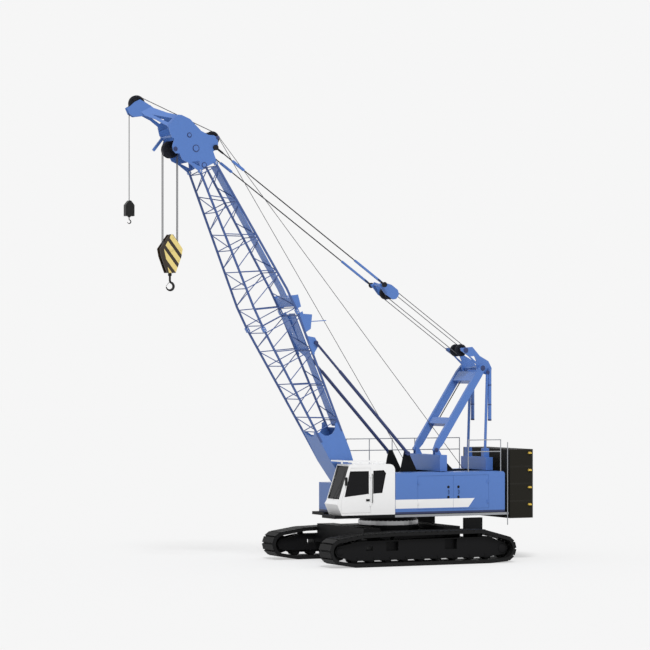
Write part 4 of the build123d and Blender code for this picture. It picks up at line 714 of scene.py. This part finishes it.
# Winch drums: flanges with bolts, shaft, barrel and the rope laid on it
FLANGE_FACE, FLANGE_INSIDE, DRUM_BOLTS = 0.5, 0.462, 0.33
FLANGE = [(0.08, 0.46), (0.36, 0.46), (0.36, 0.465), (0.402, 0.465), (0.402, FLANGE_FACE), (0.1, FLANGE_FACE)]
DRUM_SHAFT, SHAFT_REACH = 0.08, 0.5547
LAID, LAID_HALF, TURNS, STEPS = BARREL + ROPE_RADIUS, 0.445, 32, 24
for name, centre in (("main_drum", MAIN_DRUM), ("aux_drum", AUX_DRUM), ("luffing_drum", LUFF_DRUM)):
    barrel = Form()
    for side in (-1, 1):
        barrel.turned(centre, LEFT, [(radius, side * along) for radius, along in FLANGE], 40)
        barrel.bolt_circle(centre + LEFT * (FLANGE_FACE * side), side, DRUM_BOLTS, 10, 0.018, 0.016)
    barrel.disc(centre, LEFT, DRUM_SHAFT, -SHAFT_REACH, SHAFT_REACH, 24)
    barrel.disc(centre, LEFT, BARREL, -FLANGE_INSIDE, FLANGE_INSIDE, 40)
    piece(f"{name}_round", barrel, BLACK, name, replaces=(name,))
    laid = []
    for i in range(TURNS * STEPS + 1):
        turn = 2 * pi * i / STEPS
        across = LAID_HALF * (1 - 2 * i / (TURNS * STEPS))
        laid.append(centre + Vector((LAID * cos(turn), across, LAID * sin(turn))))
    coil = Form()
    coil.path(laid, ROPE_RADIUS, 6)
    piece(f"{name}_rope", coil, ROPE, name)

# Pendants: round stays with eyes and forked ends, and link plates with their pins
STAY_RADIUS, FORK_RADIUS = 0.0185, 0.034
EYE_RADIUS, EYE_HALF = 0.088, 0.025
NECK, FORK_END, STAY_FROM = 0.06, 0.26, 0.36
PLATE_THICK, PLATE_TAPER = 0.006, 0.05
LINK_PIN, LINK_PIN_HALF, LINK_PIN_IN = 0.022, 0.03, 0.07
stays = Form()
plates = Form()
for side in (1, -1):
    start, end = BRIDLE_PIN + LEFT * (side * STAY_SIDE), STAY_PIN + LEFT * (side * STAY_SIDE)
    stays.path([start + LUFF_RUN * NECK, end - LUFF_RUN * NECK], STAY_RADIUS, 14)
    for eye, inward in ((start, LUFF_RUN), (end, -LUFF_RUN)):
        stays.disc(eye, LEFT, EYE_RADIUS, -EYE_HALF, EYE_HALF, 32)
        fork = [eye + inward * reach for reach in (NECK, FORK_END, STAY_FROM)]
        stays.path(fork, [FORK_RADIUS, FORK_RADIUS, STAY_RADIUS], 14)
    for middle, half, tall in ((end - LUFF_RUN * 0.95, 0.28, 0.04), (start + LUFF_RUN * 0.75, 0.62, 0.034)):
        flat = half - PLATE_TAPER
        outline = [(-half, 0), (-flat, tall), (flat, tall), (half, 0), (flat, -tall), (-flat, -tall)]
        for y in (-0.024, 0.018):
            plate = [middle + LUFF_RUN * run + LUFF_UP * rise + LEFT * y for run, rise in outline]
            plates.slab(plate, LEFT * PLATE_THICK)
        for run in (LINK_PIN_IN - half, half - LINK_PIN_IN):
            plates.disc(middle + LUFF_RUN * run, LEFT, LINK_PIN, -LINK_PIN_HALF, LINK_PIN_HALF, 14)
piece("pendant_stays", stays, SHEAVE, "pendants", replaces=("pendants",))
piece("pendant_links", plates, BLUE, "pendants")

# Hooks: round shank, swept bowl and drawn-out tip, in place of the flat solids
BOWL_FROM, BOWL_TO, BOWL_STEPS = 100, 352, 22
BELLY, BELLY_SHARE = 0.09, 1.3
THINNING, THIN_FROM = 0.28, 0.6


def hook_form(form, centre, bar, top, thick):
    """Sweep down the shank and round the bowl to the tip; bar is the middle radius of the bowl."""
    shank = [Vector((centre.x, centre.y, top)), Vector((centre.x, centre.y, centre.z + bar + thick * 0.8))]
    bend = arc(centre, bar, BOWL_FROM, BOWL_TO, BOWL_STEPS)
    radii = [thick * 0.5] * len(shank)
    for i in range(len(bend)):
        t = i / (len(bend) - 1)
        swell = BELLY * sin(pi * min(1, t * BELLY_SHARE))
        thinned = THINNING * max(0, t - THIN_FROM) / (1 - THIN_FROM)
        radii.append(thick * (0.5 + swell - thinned))
    form.path(shank + bend, radii, 14)


hook = Form()
bowl = Vector((MAIN_AXLE.x, 0, BLOCK_BOTTOM - 0.423))
hook_form(hook, bowl, bar=0.1255, top=BLOCK_BOTTOM + 0.059, thick=0.07)
swivel = [(0, 0), (0.052, 0), (0.06, 0.02), (0.06, 0.075), (0.048, 0.095), (0, 0.095)]
hook.turned((MAIN_AXLE.x, 0, BLOCK_BOTTOM - 0.1), UP, swivel, 24)
hook.path([bowl + Vector((0.02, 0, 0.135)), bowl + Vector((0.132, 0, 0))], 0.007, 8)
piece("main_hook_round", hook, FORGED, "main_hook", replaces=("main_hook",))

# Auxiliary hook: weight, swivel collar, bolts and hook
WEIGHT_FOOT, WEIGHT_SIDE = 11.12, 0.1
aux = Form()
right = [(0.145, WEIGHT_FOOT), (0.145, 11.47), (0.03, AUX_TOP)]
outline = [(-0.145, WEIGHT_FOOT), *right, (-0.03, AUX_TOP), (-0.145, 11.47)]
aux.slab([(AUX_X + x, -WEIGHT_SIDE, z) for x, z in outline], LEFT * (2 * WEIGHT_SIDE))
aux.turned((AUX_X, 0, 11.085), UP, [(0, 0), (0.035, 0), (0.05, 0.012), (0.05, 0.036), (0, 0.036)], 24)
for z in (11.2, 11.42):
    for x in (-0.1, 0.1):
        for side in (-1, 1):
            aux.bolt((AUX_X + x, WEIGHT_SIDE * side, z), LEFT * side, 0.013, 0.012)
hook_form(aux, Vector((AUX_X, 0, 10.945)), bar=0.057, top=WEIGHT_FOOT, thick=0.03)
piece("aux_hook_round", aux, FORGED, "aux_hook", bevel=0.008, replaces=("aux_hook",))

# Caps and bolts on the cheeks of the hook block
CHEEK_FACE = 0.125
CHEEK_BOLTS = ((0.06, 0.36), (0.3, -0.02), (0.24, -0.36), (0.08, -0.66))
trim = Form()
for side in (-1, 1):
    face = BLOCK_AXLE + LEFT * (CHEEK_FACE * side)
    trim.cap(face, LEFT * side, radius=0.075)
    for out, z in CHEEK_BOLTS:
        for x in (-out, out):
            trim.bolt(face + Vector((x, 0, z)), LEFT * side, 0.016, 0.014)
piece("block_bolts", trim, YELLOW, "main_block")

# Hand rails, with knobs, foot flanges and one long upright
RAIL_TOP, RAIL_MIDDLE, RAIL_RADIUS = 3.97, 3.585, 0.016
ROOF, LOW_ROOF, LOW_ROOF_FROM = 2.93, 2.557, 0.6
KNOB = [(0, 0), (0.019, 0.004), (0.019, 0.026), (0, 0.032)]
UPRIGHT_X, UPRIGHT_Y, UPRIGHT_FOOT, UPRIGHT_TOP = -3.6247, 1.5663, 1.16, 3.89
RAILS = (
    ("hand_rail_right", -1.5, (0.8, -0.05, -0.9, -1.75, -2.6, -3.45)),
    ("hand_rail_left", 1.5, (-2.19, -3.4)),
)
for name, y, posts in RAILS:
    rail = Form()
    for z in (RAIL_TOP, RAIL_MIDDLE):
        rail.path([(posts[0], y, z), (posts[-1], y, z)], RAIL_RADIUS, 12)
    for x in posts:
        foot_z = LOW_ROOF if x > LOW_ROOF_FROM else ROOF
        rail.path([(x, y, foot_z), (x, y, RAIL_TOP)], RAIL_RADIUS, 12)
        rail.turned((x, y, RAIL_TOP - RAIL_RADIUS), UP, KNOB, 12)
        rail.disc((x, y, foot_z), UP, 0.042, 0, 0.008, 20)
    if y > 0:
        upright = [(UPRIGHT_X, UPRIGHT_Y, z) for z in (UPRIGHT_FOOT, UPRIGHT_TOP)]
        rail.path(upright, RAIL_RADIUS, 12)
        for z in (1.53, 1.57):
            rail.disc((UPRIGHT_X, UPRIGHT_Y, z), UP, 0.024, 0, 0.02, 16)
    piece(f"{name}_round", rail, RAIL, UPPER, replaces=(name,))

# Where trim on the side walls of the deck and the housings starts
WALL = 1.5502

# Pale edge strips along both sides of the deck
EDGE_OUT, EDGE_REAR, EDGE_LOW, EDGE_HIGH = 1.556, -3.668, 1.503, 1.578
strips = Form()
for side, front in ((-1, 2.03), (1, 0.515)):
    y0, y1 = sorted((WALL * side, EDGE_OUT * side))
    strips.box((EDGE_REAR, y0, EDGE_LOW), (front, y1, EDGE_HIGH))
piece("deck_edges", strips, RAIL, UPPER)

# Door furniture: two round locks and a pull handle between them
LOCK_HEIGHTS = (2.12, 2.45)
PULL_OUT, PULL_RADIUS = 0.045, 0.009
LATCHES = (("service_door_front", 1, -1.43), ("service_door_rear", 1, -1.8), ("engine_door", -1, -2.36))
for name, side, x in LATCHES:
    latches = Form()
    y = WALL * side
    for z in LOCK_HEIGHTS:
        latches.cap((x, y, z), LEFT * side, radius=0.045, edge=0.008, height=0.012, slope=0.015, sides=20)
    out = y + PULL_OUT * side
    latches.path([(x, y, 2.22), (x, out, 2.235), (x, out, 2.335), (x, y, 2.35)], PULL_RADIUS, 8)
    piece(f"{name}_latches", latches, RUBBER, name)

# Louvres on the engine door: slanted slats in a frame
LOUVRE_REAR, LOUVRE_FRONT, FRAME_WIDTH = -2.1, -1.5, 0.025
FRAME_LOW, FRAME_HIGH, FRAME_OUT = 1.9, 2.73, -1.562
SLATS, FIRST_SLAT, SLAT_PITCH, SLAT_OUT, SLAT_RISE, SLAT_THICK = 14, 1.93, 0.055, -1.566, 0.012, 0.02
slats = Form()
for i in range(SLATS):
    z = FIRST_SLAT + SLAT_PITCH * i
    slats.slab([
        (LOUVRE_REAR, -WALL, z), (LOUVRE_FRONT, -WALL, z),
        (LOUVRE_FRONT, SLAT_OUT, z + SLAT_RISE), (LOUVRE_REAR, SLAT_OUT, z + SLAT_RISE),
    ], UP * SLAT_THICK)
for x in (LOUVRE_REAR - FRAME_WIDTH, LOUVRE_FRONT):
    slats.box((x, FRAME_OUT, FRAME_LOW), (x + FRAME_WIDTH, -WALL, FRAME_HIGH))
for z in (FRAME_LOW, FRAME_HIGH - FRAME_WIDTH):
    slats.box((LOUVRE_REAR - FRAME_WIDTH, FRAME_OUT, z), (LOUVRE_FRONT + FRAME_WIDTH, -WALL, z + FRAME_WIDTH))
piece("engine_door_louvres", slats, BLACK, "engine_door")

# Cab: seals round the panes, by their corners in x and z
CAB_LEFT, CAB_RIGHT, CAB_REAR = 1.55, 0.604, 0.513
SEAL_SUNK, SEAL_RADIUS = 0.004, 0.012
WINDOWS = {
    "door": [(1.465, 2.29), (2.32, 2.2), (2.12, 3.01), (1.465, 3.01)],
    "rear": [(0.985, 2.31), (1.29, 2.29), (1.29, 3.02), (0.93, 3.03), (0.85, 2.94)],
    "right": [(0.7, 2.3), (2.25, 2.2), (2.06, 3.01), (0.7, 3.01)],
}


def seal(form, name, y):
    form.path([(x, y, z) for x, z in WINDOWS[name]], SEAL_RADIUS, 8, closed=True)


door_seal = Form()
seal(door_seal, "door", CAB_LEFT - SEAL_SUNK)
piece("door_window_seal", door_seal, RUBBER, "cab_door")
handle = Form()
handle.box((1.43, CAB_LEFT + 0.0002, 2.045), (1.56, CAB_LEFT + 0.012, 2.115))
bow = [(1.445, 0.01), (1.45, 0.03), (1.54, 0.03), (1.545, 0.01)]
handle.path([(x, CAB_LEFT + out, 2.08) for x, out in bow], 0.009, 8)
piece("cab_door_handle", handle, RUBBER, "cab_door", bevel=0.002)

# Windscreen: its seal and its wiper lie on its slope
SCREEN_FOOT, SCREEN_TOP = Vector((2.52, 1.075, 2.07)), Vector((2.135, 1.075, 3.23))
SCREEN_HALF_WIDTH, SCREEN_MARGIN = 0.41, 0.065
screen_run = (SCREEN_FOOT - SCREEN_TOP).normalized()
screen_out = Vector((-screen_run.z, 0, screen_run.x))
screen_mid = (SCREEN_FOOT + SCREEN_TOP) / 2
screen_half = (SCREEN_FOOT - SCREEN_TOP).length / 2 - SCREEN_MARGIN
seals = Form()
seal(seals, "rear", CAB_LEFT - SEAL_SUNK)
seal(seals, "right", CAB_RIGHT)
around = [
    screen_mid + LEFT * (SCREEN_HALF_WIDTH * a) + screen_run * (screen_half * b) - screen_out * 0.002
    for a, b in ((-1, -1), (1, -1), (1, 1), (-1, 1))
]
seals.path(around, SEAL_RADIUS, 8, closed=True)
rear_pane = [(0.72, 2.3), (1.43, 2.3), (1.43, 3.0), (0.72, 3.0)]
seals.path([(CAB_REAR, y, z) for y, z in rear_pane], SEAL_RADIUS, 8, closed=True)
piece("cab_seals", seals, RUBBER, UPPER)

BLADE_HALF = 0.3
wiper = Form()
base = screen_mid + screen_run * (screen_half - 0.01) + LEFT * 0.05 + screen_out * 0.012
tip = base - screen_run * 0.62 + LEFT * 0.24
wiper.turned(base - screen_out * 0.01, screen_out, [(0, 0), (0.026, 0), (0.022, 0.03), (0, 0.03)], 16)
arm = [base + screen_out * 0.012, (base + tip) / 2 + screen_out * 0.022, tip + screen_out * 0.01]
wiper.path(arm, 0.006, 8)
blade = tip + screen_out * 0.001
wiper.path([blade - screen_run * BLADE_HALF, blade + screen_run * BLADE_HALF], 0.007, 6)
piece("windscreen_wiper", wiper, RUBBER, UPPER)

MIRROR_X, MIRROR_DEPTH = 2.285, 0.04
mirror = Form()
mirror.path([(2.23, 1.548, 2.78), (2.27, 1.6, 2.8), (2.31, 1.64, 2.8)], 0.011, 8)
mirror.path([(2.31, 1.64, 2.55), (2.31, 1.64, 2.85)], 0.009, 8)
case = [(1.565, 2.56), (1.7, 2.56), (1.7, 2.83), (1.565, 2.83)]
mirror.slab([(MIRROR_X, y, z) for y, z in case], (MIRROR_DEPTH, 0, 0))
piece("cab_mirror", mirror, RUBBER, UPPER, bevel=0.008)
pane = Form()
pane.box((MIRROR_X - 0.0035, 1.577, 2.573), (MIRROR_X - 0.0005, 1.688, 2.817))
piece("cab_mirror_pane", pane, MIRROR, UPPER)

grab = Form()
grab.path([(1.345, WALL, 2.0), (1.345, 1.6, 2.02), (1.345, 1.6, 2.9), (1.345, WALL, 2.92)], 0.011)
piece("cab_grab_rail", grab, BLACK, UPPER)

# Operator's seat: crowned cushions with side bolsters and a head rest
FLOOR_Z = 1.65
CELLS, ROUNDING, ON_FACE = 10, 6, 0.98


def cushion(form, low, high, crown, tilt=0.0, pivot=None):
    """A padded block with bulging faces, turned about the Y axis; its heights are from the cab's floor."""
    low, high = Vector(low) + UP * FLOOR_Z, Vector(high) + UP * FLOOR_Z
    middle, half = (low + high) / 2, (high - low) / 2
    pivot = pivot or middle
    turn = Matrix.Rotation(radians(tilt), 3, "Y")
    points, faces, index = [], [], {}

    def corner(i, j, k):
        if (i, j, k) not in index:
            u, v, w = (2 * n / CELLS - 1 for n in (i, j, k))
            swell = [(1 - a * a) * (1 - b * b) for a, b in ((v, w), (u, w), (u, v))]
            length = sum(abs(n) ** ROUNDING for n in (u, v, w)) ** (1 / ROUNDING)
            shrink = 1 / max(1.0, length)
            unit = Vector((u, v, w)) * shrink
            place = Vector()
            for n in range(3):
                place[n] = unit[n] * half[n]
                if abs(unit[n]) > ON_FACE * shrink:
                    place[n] += copysign(crown[n] * swell[n], unit[n])
            index[(i, j, k)] = len(points)
            points.append(pivot + turn @ (middle + place - pivot))
        return index[(i, j, k)]

    for i in range(CELLS):
        for j in range(CELLS):
            for a, b, c in ((0, 1, 2), (1, 2, 0), (2, 0, 1)):
                for level in (0, CELLS):
                    quad = []
                    for di, dj in ((0, 0), (1, 0), (1, 1), (0, 1)):
                        spot = [0, 0, 0]
                        spot[a], spot[b], spot[c] = i + di, j + dj, level
                        quad.append(corner(*spot))
                    faces.append(quad)
    form.add(points, faces)


BACK_FOOT = 0.43
BACK_TILT, BACK_PIVOT = -10.8, Vector((0.945, 1.075, FLOOR_Z + BACK_FOOT))
seat = Form()
cushion(seat, (0.93, 0.87, 0.345), (1.47, 1.28, 0.44), (0, 0, 0.018))
for y in (0.835, 1.255):
    low, high = (0.93, y, 0.335), (1.46, y + 0.06, 0.455)
    cushion(seat, low, high, (0, 0.004, 0.008))
cushion(seat, (0.89, 0.87, BACK_FOOT), (1.0, 1.28, 0.93), (0.02, 0, 0), BACK_TILT, BACK_PIVOT)
for y in (0.835, 1.265):
    low, high = (0.89, y, BACK_FOOT), (1.01, y + 0.05, 0.9)
    cushion(seat, low, high, (0.01, 0, 0), BACK_TILT, BACK_PIVOT)
cushion(seat, (0.79, 0.94, 0.94), (0.88, 1.21, 1.12), (0.014, 0, 0), BACK_TILT)
seat_cover = piece("seat_cushions", seat, FABRIC, UPPER, replaces=("seat",), creases=60)

# Seat base with a bellows, and the levers' grips and boots
FOLDS, FOLD_PITCH, FOLD_HEIGHT = 6, 0.038, 0.026
seat_base = Form()
seat_base.box((0.96, 0.88, FLOOR_Z), (1.34, 1.27, FLOOR_Z + 0.04))
for i in range(FOLDS):
    z = FLOOR_Z + 0.04 + FOLD_PITCH * i
    seat_base.box((0.985, 0.905, z), (1.315, 1.245, z + FOLD_HEIGHT))
seat_base.box((0.95, 0.87, FLOOR_Z + 0.275), (1.4, 1.28, FLOOR_Z + 0.335))
piece("seat_base", seat_base, PLASTIC, UPPER, bevel=0.006)
LEVER_X, LEVER_SIDES = 1.56, (0.747, 1.402)
GRIP = [(0, 0), (0.028, 0.01), (0.034, 0.05), (0.03, 0.1), (0.018, 0.12), (0, 0.124)]
BOOT = [(0, 0), (0.05, 0), (0.03, 0.05), (0, 0.05)]
levers = Form()
for y in LEVER_SIDES:
    levers.turned((LEVER_X, y, FLOOR_Z + 0.7), UP, GRIP, 20)
    levers.turned((LEVER_X, y, FLOOR_Z + 0.5605), UP, BOOT, 20)
piece("lever_grips", levers, RUBBER, UPPER)

# Collars and bolted caps on the boom's head
HEAD_FACE = 0.4655
HEAD_HOLES = ((13.197, -0.126, 0.05), (12.727, -0.109, 0.085), (12.135, -0.091, 0.06))
COLLAR = [(0.002, 0), (0.03, 0), (0.024, 0.014), (0.002, 0.014)]
collars = Form()
for along, rise, hole in HEAD_HOLES:
    ring = [(hole + out, height) for out, height in COLLAR]
    for side in (-1, 1):
        collars.turned(boom(along, rise, HEAD_FACE * side), LEFT * side, ring, 32)
for axle, radius in ((MAIN_AXLE, 0.07), (GUIDE_AXLE, 0.06)):
    for side in (-1, 1):
        spot = axle + LEFT * (HEAD_FACE * side)
        collars.cap(spot, LEFT * side, radius)
        collars.bolt_circle(spot + LEFT * (0.012 * side), side, radius - 0.016, 6, 0.008, 0.008)
piece("head_collars", collars, NAVY, "boom")

# Bolted caps on the pins of the boom's foot and of the gantry
FOOT_FACE = 0.5855
caps = Form()
for side in (-1, 1):
    spot = FOOT + LEFT * (FOOT_FACE * side)
    caps.cap(spot, LEFT * side, radius=0.09, slope=0.04)
    caps.bolt_circle(spot + LEFT * (0.012 * side), side, 0.07, 6, 0.009, 0.009)
piece("boom_foot_caps", caps, BLACK, UPPER)
GANTRY_PINS = (
    (Vector((-1.38, 0, 3.64)), 0.8005, 0.07), (Vector((-3.13, 0, 6.33)), 0.7655, 0.085),
    (GANTRY_TOP, 0.5405, 0.085), (Vector((-3.38, 0, 6.19)), 0.6425, 0.06),
)
caps = Form()
for side in (-1, 1):
    for centre, y, radius in GANTRY_PINS:
        spot = centre + LEFT * (y * side)
        caps.cap(spot, LEFT * side, radius, edge=0.014, height=0.022)
        caps.bolt_circle(spot + LEFT * (0.014 * side), side, radius - 0.022, 4, 0.009, 0.009, first=45)
piece("gantry_pin_caps", caps, NAVY, UPPER)

# Brace between the gantry's legs, bands on the lift cylinders
BRACE_EYE = [(0, 0), (0.03, 0), (0.034, 0.008), (0.034, 0.032), (0.03, 0.04), (0, 0.04)]
BRACE_ENDS = (Vector((-2.99, -0.28, 6.1)), Vector((-1.99, -0.28, 4.57)))
brace = Form()
brace.path(BRACE_ENDS, 0.017, 12)
for end in BRACE_ENDS:
    brace.turned(end - LEFT * 0.02, LEFT, BRACE_EYE, 20)
piece("gantry_brace", brace, BLACK, UPPER)
LIFT_X, LIFT_SIDE = -3.476, 0.6
GLAND = [(0, 0), (0.05, 0), (0.064, 0.012), (0.064, 0.05), (0, 0.05)]
lift = Form()
for side in (-1, 1):
    y = LIFT_SIDE * side
    lift.turned((LIFT_X, y, 4.575), UP, GLAND, 24)
    for z in (5.1, 5.75):
        lift.disc((LIFT_X, y, z), UP, 0.064, 0, 0.03, 24)
piece("lift_cylinder_bands", lift, NAVY, UPPER)

# Bolt circle on the slewing ring, hub covers and bolts on the side frames
RING_BOLTS, RING_CIRCLE, RING_Z = 40, 0.955, 1.34
bolts = Form()
for i in range(RING_BOLTS):
    turn = radians(360 / RING_BOLTS * i)
    bolts.bolt((RING_CIRCLE * cos(turn), RING_CIRCLE * sin(turn), RING_Z), UP, 0.015, 0.02)
piece("ring_bolts", bolts, STEEL, "undercarriage")
OUTER_FACE = 2.4705
HUBS = ((2.93, 0.51, 0.12), (-2.93, 0.46, 0.15))
FRAME_BOLTS, FRAME_LENGTH, FRAME_BOLT_Z = 9, 4.6, 0.2703
hubs = Form()
for side in (-1, 1):
    for x, z, radius in HUBS:
        spot = Vector((x, OUTER_FACE * side, z))
        hubs.cap(spot, LEFT * side, radius, edge=0.016, height=0.03, slope=0.03, sides=36)
        hubs.bolt_circle(spot + LEFT * (0.014 * side), side, radius - 0.025, 10, 0.012, 0.016)
    for i in range(FRAME_BOLTS):
        x = FRAME_LENGTH * (i / (FRAME_BOLTS - 1) - 0.5)
        hubs.bolt((x, OUTER_FACE * side, FRAME_BOLT_Z), LEFT * side, 0.03, 0.018)
piece("hub_covers", hubs, BLACK, "undercarriage")

# Round eyes on the yellow ends of the counterweight's lugs
EYE_X, EYE_SIDE, EYE_DROP = -4.405, 1.6618, 0.1
EYE_LENGTH, EYE_OUT = 0.05, 0.04
eyes = Form()
for i in range(4):
    z = SLAB_FOOT + SLAB_HEIGHT * (i + 1) - EYE_DROP
    for side in (-1, 1):
        loop = []
        for turn in map(radians, range(0, 181, 20)):
            x, y = EYE_X + EYE_LENGTH * cos(turn), EYE_SIDE + EYE_OUT * sin(turn)
            loop.append((x, y * side, z))
        eyes.path(loop, 0.012, 8)
piece("weight_eyes", eyes, YELLOW_PLAIN, UPPER)

# Floor: half lit and half glowing where it is seen straight, so that it meets the backdrop
FLOOR_TINT, FLOOR_LIFT, FLOOR_DROP = 0.84, 0.5, 0.002
bpy.ops.mesh.primitive_plane_add(size=600, location=(0, 0, -FLOOR_DROP))
floor = bpy.context.object
floor.name = "floor"
ground, tree = new_material("pale_floor")
set_inputs(tree.shader, {"Base Color": (*(FLOOR_TINT,) * 3, 1), "Roughness": 0.95, "Specular IOR Level": 0})
glow = tree.new("Emission")
set_inputs(glow, {"Color": (*(BACKDROP,) * 3, 1)})
both = tree.new("MixShader")
tree.link(tree.math("MULTIPLY", tree.seen_straight(), FLOOR_LIFT), both.inputs[0])
tree.link(tree.shader.outputs[0], both.inputs[1])
tree.link(glow.outputs[0], both.inputs[2])
tree.link(both.outputs[0], tree.nodes["Material Output"].inputs["Surface"])
floor.data.materials.append(ground)

# Light and camera
WORLD_LIGHT = 0.58
world = bpy.data.worlds.new("pale_sky")
world.use_nodes = True
tree = Tree(world.node_tree)
sky = tree.blend(tree.seen_straight(), (WORLD_LIGHT,) * 3, (BACKDROP,) * 3)
tree.link(sky, tree.nodes["Background"].inputs["Color"])
bpy.context.scene.world = world

sun_data = bpy.data.lights.new("sun", "SUN")
sun_data.energy = 2.1
sun_data.angle = radians(14)
sun = bpy.data.objects.new("sun", sun_data)
sun.rotation_euler = Vector((-0.35, -0.75, -1.0)).to_track_quat("-Z", "Y").to_euler()
bpy.context.scene.collection.objects.link(sun)

camera_data = bpy.data.cameras.new("photo_camera")
camera_data.sensor_width = 36
camera_data.lens = CAMERA_FOCAL * 36 / IMAGE_SIDE
camera_data.shift_x = 0.5 - AXIS_PIXEL / IMAGE_SIDE
camera_data.shift_y = HORIZON_PIXEL / IMAGE_SIDE - 0.5
camera_data.clip_end = 1000
camera = bpy.data.objects.new("photo_camera", camera_data)
away = Vector((sin(CAMERA_TURN), cos(CAMERA_TURN), 0))
camera.location = Vector((AXIS_X, 0, CAMERA_HEIGHT)) + away * CAMERA_DISTANCE
camera.rotation_euler = (-away).to_track_quat("-Z", "Y").to_euler()
bpy.context.scene.collection.objects.link(camera)
bpy.context.scene.camera = camera
bpy.context.scene.view_settings.view_transform = "Standard"
